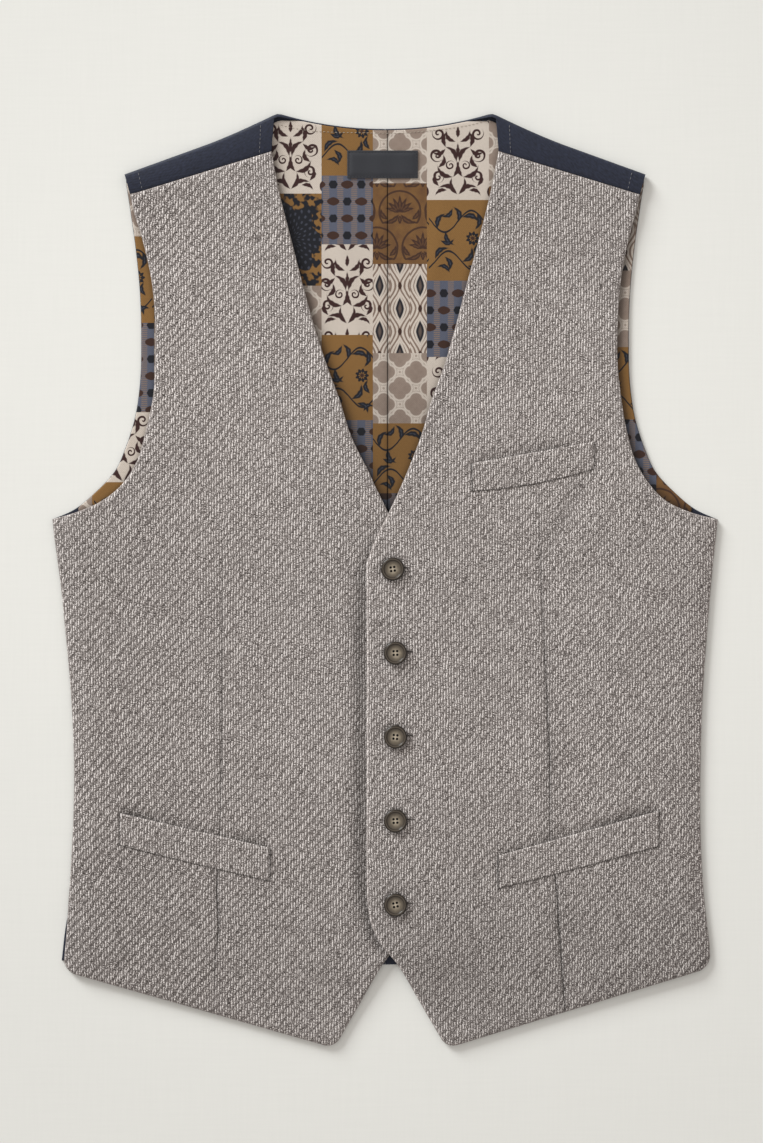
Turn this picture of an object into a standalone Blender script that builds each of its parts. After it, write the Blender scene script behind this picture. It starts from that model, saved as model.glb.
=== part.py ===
"""A five-button tailored waistcoat, fastened and laid flat on its back.

The navy back shell lies on the surface, in two halves, and folds forward over the shoulders.
The printed back lining lies on the shell, the fronts lie on the lining, and the wearer's left
front laps over the right one. +X is the wearer's left, +Y runs up the garment and +Z points
away from the surface. The tables are in millimetres. Their X counts outwards from the centre
line, so that each side of the garment reads in the same way.
"""

import math
from collections import namedtuple

import bmesh
import bpy
import numpy as np

MM = 0.001
SEAM_GAP = 0.3
FAR = 60.0  # well inside a panel's edges
LEFT, RIGHT = 1, -1

# Walls of cloth
SHELL_WALL = 1.0
LINING_WALL = 1.0
FRONT_WALL = 2.5
WELT_WALL = 1.4
LABEL_WALL = 0.8

# Heights of the undersides over the surface
LINING_BASE = SHELL_WALL + SEAM_GAP
SIDE_BASE = SHELL_WALL + SEAM_GAP
FRONT_BASE = 3.2
LAP_BASE = FRONT_BASE + FRONT_WALL + SEAM_GAP
HEM_POINT_BASE = 1.5
NECKLINE_LIFT = 1.0
STRIP_BASE = 4.3

# The lap: the left front is at its full height up to LAP_FULL and down again at LAP_END
LAP_FULL = 23.5
LAP_END = 95.0
LAP_TOP = 55.0
LAP_TOP_END = 98.0
LAP_FOOT = -282.0
LAP_FOOT_END = -318.0

# Sides and hem
SIDE_ROLL = 15.0
UNDERARM_X, UNDERARM_Y = 246.4, 45.0
UNDERARM_REACH = 24.0
HEM_DROP_FROM, HEM_DROP_TO = -272.0, -328.0
HEM_POINT_RADIUS = 8.0
HEM_SIDE_RADIUS = 9.0

# Back neck and shoulder
NECK_LOW_Y = 334.3
NECK_RISE = 11.3
NECK_HALF = 79.0
TIP_X, TIP_Y = 193.0, 300.4
SHOULDER_SLOPE = 0.362
SHOULDER_KICK = 3.7
KICK_FROM_X = 132.0
KICK_WIDTH = 48.0
NECK_POINT_ROUND = 2.0
STRIP_NECK_X = 83.0
STRIP_SEAM_NECK = (84.0, 317.5)
STRIP_SEAM_ARM = (188.7, 285.5)
FOLD_STEPS = 6
STRIP_SHARES = (0.5, 1.0)
BOW_FROM_Y = 178.0

# The left half of the back is fuller between its hem and its underarm
LEFT_FULLNESS = 3.4
BACK_HEM_Y = -282.0

# Lining
LINING_SEAM_X = 2.0
LINING_EDGE_INSET = 1.0
LINING_SIDE_INSET = 15.0
LINING_FOLD_INSET = 4.2
LINING_FOLD_START = (74.0, 80.0)

# Buttons, label and welts
BUTTON_X = 7.7
TOP_BUTTON_X = 5.7
BUTTON_TOP_Y = 8.1
BUTTON_PITCH = 62.0
BUTTON_COUNT = 5
BUTTON_GAP = 0.4
THREAD_HOLE_RADIUS = 0.85
THREAD_HOLE_OFFSET = 1.45
LABEL_X, LABEL_Y = -1.8, 307.8
LABEL_WIDTH, LABEL_HEIGHT = 52.4, 20.6

Section = namedtuple("Section", "inner_x inner_y outer_x outer_y")
Welt = namedtuple("Welt", "inner_low inner_high outer_low outer_high sag")
Ring = namedtuple("Ring", "radius height")
Finish = namedtuple("Finish", "red green blue roughness")

# Each row is a line across the cloth, from its inner edge (front edge or centre) to its outer one.
LEFT_FRONT_SKIRT = (
    Section(45.7, -346.8, 241.0, -287.0),
    Section(27.0, -314.9, 240.3, -270.0),
    Section(8.5, -283.4, 238.5, -254.0),
    Section(-2.6, -269.8, 237.2, -243.0),
    Section(-9.4, -257.0, 236.0, -231.0),
    Section(-12.8, -241.0, 235.0, -216.0),
    Section(-13.5, -218.0, 234.1, -198.0),
    Section(-13.5, -176.0, 233.5, -166.0),
    Section(-13.5, -128.0, 233.9, -126.0),
    Section(-13.5, -80.0, 235.7, -79.0),
    Section(-13.5, -34.0, 239.1, -33.0),
    Section(-13.5, -4.0, 241.6, -3.0),
    Section(-13.2, 13.0, 243.5, 17.0),
    Section(-8.2, 27.5, 245.1, 31.0),
    Section(2.6, 49.6, 246.4, 45.0),
)
LEFT_FRONT_CHEST = (
    Section(2.6, 49.6, 246.4, 45.0),
    Section(7.1, 59.0, 226.0, 50.2),
    Section(11.6, 69.0, 208.0, 58.6),
    Section(16.6, 80.5, 194.8, 72.2),
    Section(21.6, 93.0, 185.4, 88.4),
    Section(27.1, 108.0, 179.2, 109.6),
    Section(34.3, 132.5, 174.6, 136.5),
    Section(43.9, 159.0, 172.0, 163.0),
    Section(52.8, 190.0, 172.4, 193.0),
    Section(61.8, 224.0, 174.9, 224.0),
    Section(70.4, 256.0, 181.0, 255.0),
    Section(78.0, 287.0, 185.6, 271.0),
    Section(84.0, 317.2, 188.6, 285.2),
)
RIGHT_FRONT_SKIRT = (
    Section(37.6, -346.7, 238.4, -289.4),
    Section(20.0, -316.0, 237.3, -277.0),
    Section(1.7, -284.6, 236.0, -262.0),
    Section(-8.6, -270.6, 235.2, -250.0),
    Section(-15.8, -257.0, 234.5, -238.0),
    Section(-19.4, -241.0, 233.4, -224.0),
    Section(-20.2, -218.0, 232.4, -207.0),
    Section(-20.2, -176.0, 230.7, -170.0),
    Section(-20.2, -128.0, 230.5, -130.0),
    Section(-20.2, -80.0, 232.9, -81.0),
    Section(-20.2, -34.0, 237.2, -34.0),
    Section(-20.2, -4.0, 240.2, -4.0),
    Section(-19.6, 13.0, 242.7, 15.0),
    Section(-14.2, 27.5, 244.9, 31.0),
    Section(-2.6, 49.6, 246.4, 45.0),
)
RIGHT_FRONT_CHEST = (
    Section(-2.6, 49.6, 246.4, 45.0),
    Section(2.0, 59.0, 228.0, 50.4),
    Section(7.0, 69.0, 210.0, 58.4),
    Section(12.4, 81.0, 194.0, 71.6),
    Section(18.6, 93.0, 183.4, 88.4),
    Section(25.6, 108.0, 177.2, 110.0),
    Section(33.4, 133.0, 171.6, 136.5),
    Section(43.0, 159.0, 170.2, 163.0),
    Section(53.0, 190.0, 170.2, 193.0),
    Section(62.2, 224.0, 173.2, 224.0),
    Section(70.4, 256.0, 180.4, 255.0),
    Section(78.2, 287.0, 185.4, 271.0),
    Section(84.0, 317.2, 188.6, 285.2),
)
BACK_SKIRT = (
    Section(0.0, -285.0, 239.6, -282.0),
    Section(0.0, -262.0, 237.4, -262.0),
    Section(0.0, -236.0, 233.7, -238.0),
    Section(0.0, -204.0, 231.0, -204.0),
    Section(0.0, -166.0, 229.7, -166.0),
    Section(0.0, -124.0, 229.7, -124.0),
    Section(0.0, -84.0, 232.0, -84.0),
    Section(0.0, -36.0, 236.2, -36.0),
    Section(0.0, 6.0, 240.6, 4.0),
    Section(0.0, 49.0, 246.3, 45.0),
)
BACK_SHOULDER = (
    Section(0.0, 49.0, 246.3, 45.0),
    Section(0.0, 56.0, 231.0, 51.8),
    Section(0.0, 66.0, 213.6, 66.0),
    Section(0.0, 80.0, 200.3, 80.6),
    Section(0.0, 97.0, 192.7, 97.0),
    Section(0.0, 118.0, 185.9, 118.0),
    Section(0.0, 146.0, 181.6, 146.0),
    Section(0.0, 178.0, 180.7, 178.0),
    Section(0.0, 214.0, 181.6, 212.0),
    Section(0.0, 252.0, 184.9, 246.0),
    Section(0.0, 294.0, 189.0, 275.0),
    Section(0.0, 334.3, 193.0, 300.4),
)

# Corners are (x, y). Sag is how far the low edge bows below a straight line.
WELTS = {
    "welt_chest": (
        LEFT,
        Welt((64.0, 65.4), (64.0, 86.2), (154.9, 82.0), (154.9, 102.4), 3.0),
    ),
    "welt_waist_left": (
        LEFT,
        Welt((83.2, -228.6), (83.2, -204.0), (203.0, -197.0), (203.0, -170.6), 0.6),
    ),
    "welt_waist_right": (
        RIGHT,
        Welt((84.7, -223.2), (84.7, -198.2), (196.4, -196.4), (196.4, -172.4), 0.4),
    ),
}

# Fractions of the way across at which a panel has a line of points
FRONT_LINES = (
    0, 0.02, 0.04, 0.09, 0.15, 0.22, 0.30, 0.38, 0.46, 0.54, 0.62, 0.70, 0.78, 0.85, 0.90,
    0.94, 0.97, 0.985, 1,
)
LINING_LINES = (0, 0.10, 0.20, 0.30, 0.38, 0.46, 0.56, 0.67, 0.78, 0.89, 1)
NECK_LINES = (0, 0.09, 0.18, 0.26, 0.34, 0.395)
SHOULDER_LINES = (0, 0.08, 0.18, 0.34, 0.50, 0.67, 0.84, 1)

BUTTON_PROFILE = (
    Ring(0.0, 0.0),
    Ring(6.8, 0.0),
    Ring(8.1, 0.5),
    Ring(8.6, 1.4),
    Ring(8.3, 2.4),
    Ring(7.5, 2.8),
    Ring(6.5, 2.6),
    Ring(6.1, 2.1),
    Ring(0.0, 1.9),
)
BUTTON_SIDES = 28
THREAD_HOLE_SIDES = 10

FINISHES = {
    "twill": Finish(0.315, 0.281, 0.262, 0.9),
    "navy": Finish(0.028, 0.034, 0.055, 0.75),
    "lining": Finish(0.20, 0.14, 0.09, 0.5),
    "button": Finish(0.075, 0.070, 0.055, 0.4),
    "label": Finish(0.012, 0.013, 0.016, 0.6),
}


def ease(value, start, end):
    """0 up to start, 1 from end on, and smooth between them."""
    t = min(max((value - start) / (end - start), 0.0), 1.0)
    return t * t * (3.0 - 2.0 * t)


def smooth_rows(table):
    """The table's rows with one more between each two, on a smooth curve through each column."""
    rows = np.array(table, float)
    steps = np.diff(rows, axis=0)
    lengths = np.hypot(steps[:, 0], steps[:, 1]) + np.hypot(steps[:, 2], steps[:, 3])
    at = np.concatenate([[0.0], np.cumsum(lengths)])
    slopes = np.gradient(rows, at, axis=0)
    made = [rows[0]]
    for k, length in enumerate(lengths):
        for t in (0.5, 1.0):
            made.append(
                (2 * t**3 - 3 * t**2 + 1) * rows[k]
                + (t**3 - 2 * t**2 + t) * length * slopes[k]
                + (3 * t**2 - 2 * t**3) * rows[k + 1]
                + (t**3 - t**2) * length * slopes[k + 1]
            )
    return made


def panel_rows(lower, upper):
    """Rows of a panel from hem to shoulder, with a true corner at the underarm."""
    return smooth_rows(lower) + smooth_rows(upper)[1:]


def unit(vector):
    """The vector at length 1."""
    return vector / np.linalg.norm(vector)


def rounded(place, corner, along, up, radius):
    """A place near a corner, moved so that the corner becomes a quarter circle. along and up are
    the unit directions of the two edges that leave the corner."""
    a, b = 1.0 - np.linalg.solve(np.column_stack((along, up)), place - corner) / radius
    if a <= 0.0 or b <= 0.0:
        return place
    a, b = min(a, 1.0), min(b, 1.0)
    round_a = a * math.sqrt(1.0 - b * b / 2.0)
    round_b = b * math.sqrt(1.0 - a * a / 2.0)
    return corner + radius * ((1.0 - round_a) * along + (1.0 - round_b) * up)


def add_corner_rows(rows, radius):
    """Two more rows next to the hem, within the round of its corners."""
    hem, above = rows[0], rows[1]
    length = math.hypot(above[0] - hem[0], above[1] - hem[1])
    near = [hem + (above - hem) * radius * share / length for share in (0.5, 1.0)]
    return [hem, *near, *rows[1:]]


def shoulder_line(x):
    """Height of the back's top edge: the neck's curve, rounded into the fold of the shoulder."""
    neck = NECK_LOW_Y + NECK_RISE * (x / NECK_HALF) ** 2
    kick = SHOULDER_KICK * max(0.0, (KICK_FROM_X - x) / KICK_WIDTH) ** 1.6
    fold = TIP_Y + SHOULDER_SLOPE * (TIP_X - x) + kick
    close = max(0.0, 1.0 - abs(neck - fold) / NECK_POINT_ROUND)
    return min(neck, fold) - NECK_POINT_ROUND * close**2 / 4.0


def shoulder_normal():
    """The way out of the shoulder fold, in plan."""
    length = math.hypot(SHOULDER_SLOPE, 1.0)
    return np.array([SHOULDER_SLOPE / length, 1.0 / length])


def bow(u, row):
    """How far a point of the back rises so that the rows come to follow the neck and shoulder."""
    chord = NECK_LOW_Y + (TIP_Y - NECK_LOW_Y) * u
    share = (row[1] - BOW_FROM_Y) / (NECK_LOW_Y - BOW_FROM_Y)
    return (shoulder_line(u * TIP_X) - chord) * max(share, 0.0) ** 1.5


def back_rows(side, skirt):
    """Rows of one half of the back, from the skirt rows given up to the shoulder."""
    rows = panel_rows(skirt, BACK_SHOULDER)
    if side == LEFT:
        for row in rows:
            share = max((UNDERARM_Y - row[3]) / (UNDERARM_Y - BACK_HEM_Y), 0.0)
            row[2] += LEFT_FULLNESS * 4.0 * share * (1.0 - share)
    return rows


def new_object(name, bm, finish, smooth_angle=math.radians(40)):
    """A named object with the mesh that bm holds, in metres, and its finish."""
    bmesh.ops.recalc_face_normals(bm, faces=bm.faces[:])
    mesh = bpy.data.meshes.new(name)
    bm.to_mesh(mesh)
    bm.free()
    mesh.shade_smooth()
    mesh.set_sharp_from_angle(angle=smooth_angle)
    mesh.materials.append(material(finish))
    obj = bpy.data.objects.new(name, mesh)
    bpy.context.scene.collection.objects.link(obj)
    return obj


def material(name):
    """The Principled material of that name, made when it is first asked for."""
    found = bpy.data.materials.get(name)
    if found:
        return found
    finish = FINISHES[name]
    made = bpy.data.materials.new(name)
    made.use_nodes = True
    shader = made.node_tree.nodes["Principled BSDF"]
    shader.inputs["Base Color"].default_value = (finish.red, finish.green, finish.blue, 1.0)
    shader.inputs["Roughness"].default_value = finish.roughness
    shader.inputs["Metallic"].default_value = 0.0
    return made


def grid(columns, rows):
    """A bmesh grid and its points as a table [row][column]."""
    bm = bmesh.new()
    bmesh.ops.create_grid(bm, x_segments=columns - 1, y_segments=rows - 1, size=1.0)
    table = [[None] * columns for _ in range(rows)]
    for vert in bm.verts:
        column = round((vert.co.x + 1.0) / 2.0 * (columns - 1))
        row = round((vert.co.y + 1.0) / 2.0 * (rows - 1))
        table[row][column] = vert
    return bm, table


def raise_wall(bm, wall):
    """Gives a grid its thickness, straight up."""
    made = bmesh.ops.extrude_face_region(bm, geom=bm.faces[:])
    top = [item for item in made["geom"] if isinstance(item, bmesh.types.BMVert)]
    bmesh.ops.translate(bm, verts=top, vec=(0.0, 0.0, wall * MM))


def lap_share(x, y):
    """How much of the lap's extra height the left front has there."""
    across = 1.0 - ease(x, LAP_FULL, LAP_END)
    return across * (1.0 - ease(y, LAP_TOP, LAP_TOP_END)) * ease(y, LAP_FOOT_END, LAP_FOOT)


def front_base(x, y, from_inner, from_outer, side):
    """Height of a front's underside, at x outwards and y up, by its distances from the two edges."""
    neckline = ease(y, 84.0, 128.0) * (1.0 - ease(y, 268.0, 308.0))
    height = FRONT_BASE + NECKLINE_LIFT * neckline * (1.0 - ease(from_inner, 0.0, 26.0))
    if side == LEFT:
        height += (LAP_BASE - FRONT_BASE) * lap_share(x, y)
    height += (HEM_POINT_BASE - height) * (1.0 - ease(y, HEM_DROP_TO, HEM_DROP_FROM))
    if y < UNDERARM_Y:
        down = 1.0 - ease(from_outer, 0.0, SIDE_ROLL)
    else:
        down = 1.0 - ease(math.hypot(x - UNDERARM_X, y - UNDERARM_Y), 3.0, UNDERARM_REACH)
    return height + (SIDE_BASE - height) * down


def make_front(name, side, skirt, chest):
    """One front, from its hem to the seam in front of the shoulder."""
    rows = add_corner_rows(panel_rows(skirt, chest), HEM_POINT_RADIUS)
    bm, table = grid(len(FRONT_LINES), len(rows))
    hem_inner, hem_outer = rows[0][:2], rows[0][2:]
    along = unit(hem_outer - hem_inner)
    up_inner, up_outer = unit(rows[3][:2] - hem_inner), unit(rows[3][2:] - hem_outer)
    for row, verts in zip(rows, table):
        inner, outer = row[:2], row[2:]
        width = np.linalg.norm(outer - inner)
        for u, vert in zip(FRONT_LINES, verts):
            place = inner + (outer - inner) * u
            place = rounded(place, hem_inner, along, up_inner, HEM_POINT_RADIUS)
            place = rounded(place, hem_outer, -along, up_outer, HEM_SIDE_RADIUS)
            height = front_base(*place, u * width, (1.0 - u) * width, side)
            vert.co = (side * place[0] * MM, place[1] * MM, height * MM)
    raise_wall(bm, FRONT_WALL)
    return new_object(name, bm, "twill")


def make_back(name, side):
    """One half of the back shell: flat on the surface, then folded forward over the shoulder."""
    split = STRIP_NECK_X / TIP_X
    lines = [*NECK_LINES, *(split + (1.0 - split) * share for share in SHOULDER_LINES)]
    first = len(NECK_LINES)
    rows = back_rows(side, BACK_SKIRT)
    fold_row = len(rows) - 1
    bm, table = grid(len(lines), len(rows) + FOLD_STEPS + len(STRIP_SHARES))
    out = shoulder_normal()
    middle = SHELL_WALL / 2.0
    bend = STRIP_BASE / 2.0
    fold_depth = bend + middle

    def put(vert, place, height):
        """Sets a point from its place outwards and up, and its height."""
        vert.co = (side * max(place[0], SEAM_GAP / 2.0) * MM, place[1] * MM, height * MM)

    for row, verts in zip(rows, table):
        for u, vert in zip(lines, verts):
            put(vert, row[:2] + (row[2:] - row[:2]) * u + (0.0, bow(u, row)), middle)
    seam_neck, seam_arm = np.array(STRIP_SEAM_NECK), np.array(STRIP_SEAM_ARM)
    for k, share in enumerate(SHOULDER_LINES, first):
        x = lines[k] * TIP_X
        centre = np.array([x, shoulder_line(x)]) - out * fold_depth
        seam = seam_neck + (seam_arm - seam_neck) * share + out * SEAM_GAP / 2.0
        for step in range(FOLD_STEPS + 1):
            angle = math.pi * step / FOLD_STEPS
            place = centre + out * bend * math.sin(angle)
            put(table[fold_row + step][k], place, middle + bend * (1.0 - math.cos(angle)))
        for step, part in enumerate(STRIP_SHARES, fold_row + FOLD_STEPS + 1):
            put(table[step][k], centre + (seam - centre) * part, middle + 2.0 * bend)
    above_neck = {vert for verts in table[fold_row + 1 :] for vert in verts[:first]}
    spare = [face for face in bm.faces if above_neck.intersection(face.verts)]
    bmesh.ops.delete(bm, geom=spare, context="FACES")
    obj = new_object(name, bm, "navy")
    wall = obj.modifiers.new("wall", "SOLIDIFY")
    wall.thickness = SHELL_WALL * MM
    wall.offset = 0.0
    wall.use_even_offset = True
    return obj


def make_lining(name, side):
    """One half of the back lining, flat on the shell and just inside its edges."""
    rows = back_rows(side, BACK_SKIRT[1:])
    bm, table = grid(len(LINING_LINES), len(rows))
    out = shoulder_normal()
    seam_x = side * LINING_SEAM_X + SEAM_GAP / 2.0
    for row, verts in zip(rows, table):
        over_arm = ease(row[3], UNDERARM_Y, UNDERARM_Y + 10.0)
        inset = LINING_SIDE_INSET + (LINING_EDGE_INSET - LINING_SIDE_INSET) * over_arm
        for u, vert in zip(LINING_LINES, verts):
            x = seam_x + (row[2] - inset - seam_x) * u
            share = x / row[2]
            place = np.array([x, row[1] + (row[3] - row[1]) * share + bow(share, row)])
            if row is rows[-1]:
                place -= (0.0, LINING_EDGE_INSET)
                place -= out * LINING_FOLD_INSET * ease(x, *LINING_FOLD_START)
            vert.co = (side * place[0] * MM, place[1] * MM, LINING_BASE * MM)
    raise_wall(bm, LINING_WALL)
    return new_object(name, bm, "lining")


def make_welt(name, side, welt):
    """A welt: a strip sewn over a pocket mouth, which follows the face of its front."""
    columns, lines = 13, 3
    bm, table = grid(columns, lines)
    corners = [np.array(corner) for corner in welt[:4]]
    inner_low, inner_high, outer_low, outer_high = corners
    for j, verts in enumerate(table):
        for k, vert in enumerate(verts):
            u, v = k / (columns - 1), j / (lines - 1)
            low = inner_low + (outer_low - inner_low) * u
            high = inner_high + (outer_high - inner_high) * u
            x, y = low + (high - low) * v
            y -= welt.sag * 4.0 * u * (1.0 - u) * (1.0 - v)
            height = front_base(x, y, FAR, FAR, side) + FRONT_WALL + SEAM_GAP
            vert.co = (side * x * MM, y * MM, height * MM)
    raise_wall(bm, WELT_WALL)
    return new_object(name, bm, "twill")


def make_label():
    """The bare neck label, flat on the lining."""
    bm, table = grid(5, 3)
    for j, verts in enumerate(table):
        for k, vert in enumerate(verts):
            x = LABEL_X + LABEL_WIDTH * (k / 4.0 - 0.5)
            y = LABEL_Y + LABEL_HEIGHT * (j / 2.0 - 0.5)
            vert.co = (x * MM, y * MM, (LINING_BASE + LINING_WALL + SEAM_GAP) * MM)
    raise_wall(bm, LABEL_WALL)
    return new_object("label", bm, "label")


def turned_button():
    """A button's body, turned about its axis, its underside at height 0."""
    bm = bmesh.new()
    verts = [bm.verts.new((ring.radius * MM, 0.0, ring.height * MM)) for ring in BUTTON_PROFILE]
    edges = [bm.edges.new(pair) for pair in zip(verts, verts[1:])]
    bmesh.ops.spin(
        bm,
        geom=verts + edges,
        axis=(0.0, 0.0, 1.0),
        cent=(0.0, 0.0, 0.0),
        angle=2.0 * math.pi,
        steps=BUTTON_SIDES,
        use_merge=True,
    )
    bmesh.ops.remove_doubles(bm, verts=bm.verts[:], dist=1e-6)
    return new_object("button_blank", bm, "button")


def thread_hole_cutter():
    """Four small posts that cut the thread holes."""
    bm = bmesh.new()
    for x in (-THREAD_HOLE_OFFSET, THREAD_HOLE_OFFSET):
        for y in (-THREAD_HOLE_OFFSET, THREAD_HOLE_OFFSET):
            made = bmesh.ops.create_cone(
                bm,
                cap_ends=True,
                segments=THREAD_HOLE_SIDES,
                radius1=THREAD_HOLE_RADIUS * MM,
                radius2=THREAD_HOLE_RADIUS * MM,
                depth=12.0 * MM,
            )
            bmesh.ops.translate(bm, verts=made["verts"], vec=(x * MM, y * MM, 0.0))
    cutter = new_object("thread_holes", bm, "button")
    cutter.hide_render = True
    cutter.display_type = "WIRE"
    return cutter


def make_buttons():
    """Builds five buttons down the centre front, which share one drilled mesh."""
    blank = turned_button()
    cutter = thread_hole_cutter()
    holes = blank.modifiers.new("holes", "BOOLEAN")
    holes.operation = "DIFFERENCE"
    holes.object = cutter
    bpy.context.view_layer.update()
    graph = bpy.context.evaluated_depsgraph_get()
    drilled = bpy.data.meshes.new_from_object(blank.evaluated_get(graph))
    drilled.name = "button"
    bpy.data.objects.remove(blank)
    bpy.data.objects.remove(cutter)
    height = LAP_BASE + FRONT_WALL + BUTTON_GAP
    for k in range(BUTTON_COUNT):
        button = bpy.data.objects.new(f"button_{k + 1}", drilled)
        x = BUTTON_X if k else TOP_BUTTON_X
        button.location = (x * MM, (BUTTON_TOP_Y - BUTTON_PITCH * k) * MM, height * MM)
        bpy.context.scene.collection.objects.link(button)


def main():
    """Clears the scene and builds the waistcoat from the back up."""
    for obj in list(bpy.data.objects):
        bpy.data.objects.remove(obj, do_unlink=True)
    for side, name in ((LEFT, "left"), (RIGHT, "right")):
        make_back(f"back_{name}", side)
        make_lining(f"lining_{name}", side)
    make_front("front_left", LEFT, LEFT_FRONT_SKIRT, LEFT_FRONT_CHEST)
    make_front("front_right", RIGHT, RIGHT_FRONT_SKIRT, RIGHT_FRONT_CHEST)
    for name, (side, welt) in WELTS.items():
        make_welt(name, side, welt)
    make_label()
    make_buttons()


main()
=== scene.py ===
"""A five-button tailored waistcoat laid flat on its back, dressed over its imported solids.

Every piece of cloth is its own thin shell on the form of its solid. Tables are in millimetres.
In the tables of the cut, X counts outwards from the centre line, and everywhere else +X is the
wearer's left, +Y runs up the garment and +Z points away from the surface it lies on.
"""

import logging
import math
from dataclasses import dataclass, field
from enum import Enum
from functools import reduce
from typing import NamedTuple, Sequence

import bmesh
import bpy
import numpy as np
from bmesh.types import BMesh
from bpy.types import Material, Object
from mathutils import Matrix, Vector


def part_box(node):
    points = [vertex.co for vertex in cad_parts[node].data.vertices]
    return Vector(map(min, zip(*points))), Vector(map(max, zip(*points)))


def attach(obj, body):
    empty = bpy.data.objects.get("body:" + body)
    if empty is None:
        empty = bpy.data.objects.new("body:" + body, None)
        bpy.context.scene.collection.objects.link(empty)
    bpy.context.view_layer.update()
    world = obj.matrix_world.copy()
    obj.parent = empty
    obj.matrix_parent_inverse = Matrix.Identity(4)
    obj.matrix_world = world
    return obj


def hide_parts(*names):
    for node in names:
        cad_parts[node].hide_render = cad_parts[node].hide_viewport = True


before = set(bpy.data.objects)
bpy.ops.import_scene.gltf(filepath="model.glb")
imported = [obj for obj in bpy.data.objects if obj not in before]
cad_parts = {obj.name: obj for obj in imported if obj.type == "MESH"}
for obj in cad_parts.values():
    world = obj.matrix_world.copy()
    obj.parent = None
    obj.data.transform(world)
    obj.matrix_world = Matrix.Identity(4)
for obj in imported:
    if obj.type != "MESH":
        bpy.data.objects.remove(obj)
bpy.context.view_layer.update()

log = logging.getLogger("waistcoat")

Array = np.ndarray
Colour = tuple[float, float, float]

MM = 0.001
SEAM_GAP = 0.3

# Walls of cloth, and heights of the undersides over the surface
SHELL_WALL = 1.0
LINING_WALL = 1.0
FRONT_WALL = 2.5
LINING_BASE = SHELL_WALL + SEAM_GAP
SIDE_BASE = SHELL_WALL + SEAM_GAP
FRONT_BASE = 3.2
LAP_BASE = FRONT_BASE + FRONT_WALL + SEAM_GAP
HEM_POINT_BASE = 1.5
NECKLINE_LIFT = 1.0
STRIP_BASE = 4.3

# The lap of the left front over the right one
LAP_FULL, LAP_END = 23.5, 95.0
LAP_TOP, LAP_TOP_END = 55.0, 98.0
LAP_FOOT, LAP_FOOT_END = -282.0, -318.0

# Sides and hem
SIDE_ROLL = 15.0
UNDERARM_X, UNDERARM_Y = 246.4, 45.0
UNDERARM_REACH = 24.0
HEM_DROP_FROM, HEM_DROP_TO = -272.0, -328.0
HEM_POINT_RADIUS = 8.0
HEM_SIDE_RADIUS = 9.0

# Back neck and shoulder
NECK_LOW_Y = 334.3
NECK_RISE = 11.3
NECK_HALF = 79.0
TIP_X, TIP_Y = 193.0, 300.4
SHOULDER_SLOPE = 0.362
SHOULDER_KICK = 3.7
KICK_FROM_X = 132.0
KICK_WIDTH = 48.0
NECK_POINT_ROUND = 2.0
NECK_ROLL = 0.25
NECK_ROLL_FROM_X = 58.0
STRIP_NECK_X = 83.0
STRIP_SEAM_NECK = (84.0, 317.5)
STRIP_SEAM_ARM = (188.7, 285.5)
BOW_FROM_Y = 178.0
LEFT_FULLNESS = 3.4
BACK_HEM_Y = -282.0

# Lining
LINING_SEAM_X = 2.0
LINING_EDGE_INSET = 1.1
LINING_ARM_INSET = 0.35
LINING_SIDE_INSET = 15.0
LINING_FOLD_INSET = 4.2
LINING_FOLD_START = (60.0, 82.0)


class Side(Enum):
    """The wearer's side that a piece is on."""

    LEFT = 1
    RIGHT = -1


class Section(NamedTuple):
    """A line across the cloth, from its inner edge to its outer one."""

    inner_x: float
    inner_y: float
    outer_x: float
    outer_y: float


class Bend(NamedTuple):
    """A point on a crease: its place, how far the cloth rises there, and the half width."""

    x: float
    y: float
    rise: float
    width: float


class Ring(NamedTuple):
    """One ring of a turned profile."""

    radius: float
    height: float


def table(kind: type, *rows: Sequence[float]) -> tuple:
    """Rows of plain numbers, each made into one of that kind."""
    return tuple(kind(*row) for row in rows)


# The cut of each panel, as rows of inner x and y, then outer x and y, from the hem upwards
LEFT_FRONT_SKIRT = table(
    Section,
    (45.7, -346.8, 241.0, -287.0), (27.0, -314.9, 240.3, -270.0), (8.5, -283.4, 238.5, -254.0),
    (-2.6, -269.8, 237.2, -243.0), (-9.4, -257.0, 236.0, -231.0), (-12.8, -241.0, 235.0, -216.0),
    (-13.5, -218.0, 234.1, -198.0), (-13.5, -176.0, 233.5, -166.0), (-13.5, -128.0, 233.9, -126.0),
    (-13.5, -80.0, 235.7, -79.0), (-13.5, -34.0, 239.1, -33.0), (-13.5, -4.0, 241.6, -3.0),
    (-13.2, 13.0, 243.5, 17.0), (-8.2, 27.5, 245.1, 31.0), (2.6, 49.6, 246.4, 45.0),
)
LEFT_FRONT_CHEST = table(
    Section,
    (2.6, 49.6, 246.4, 45.0), (7.1, 59.0, 226.0, 50.2), (11.6, 69.0, 208.0, 58.6),
    (16.6, 80.5, 194.8, 72.2), (21.6, 93.0, 185.4, 88.4), (27.1, 108.0, 179.2, 109.6),
    (34.3, 132.5, 174.6, 136.5), (43.9, 159.0, 172.0, 163.0), (52.8, 190.0, 172.4, 193.0),
    (61.8, 224.0, 174.9, 224.0), (70.4, 256.0, 181.0, 255.0), (78.0, 287.0, 185.6, 271.0),
    (84.0, 317.2, 188.6, 285.2),
)
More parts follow.
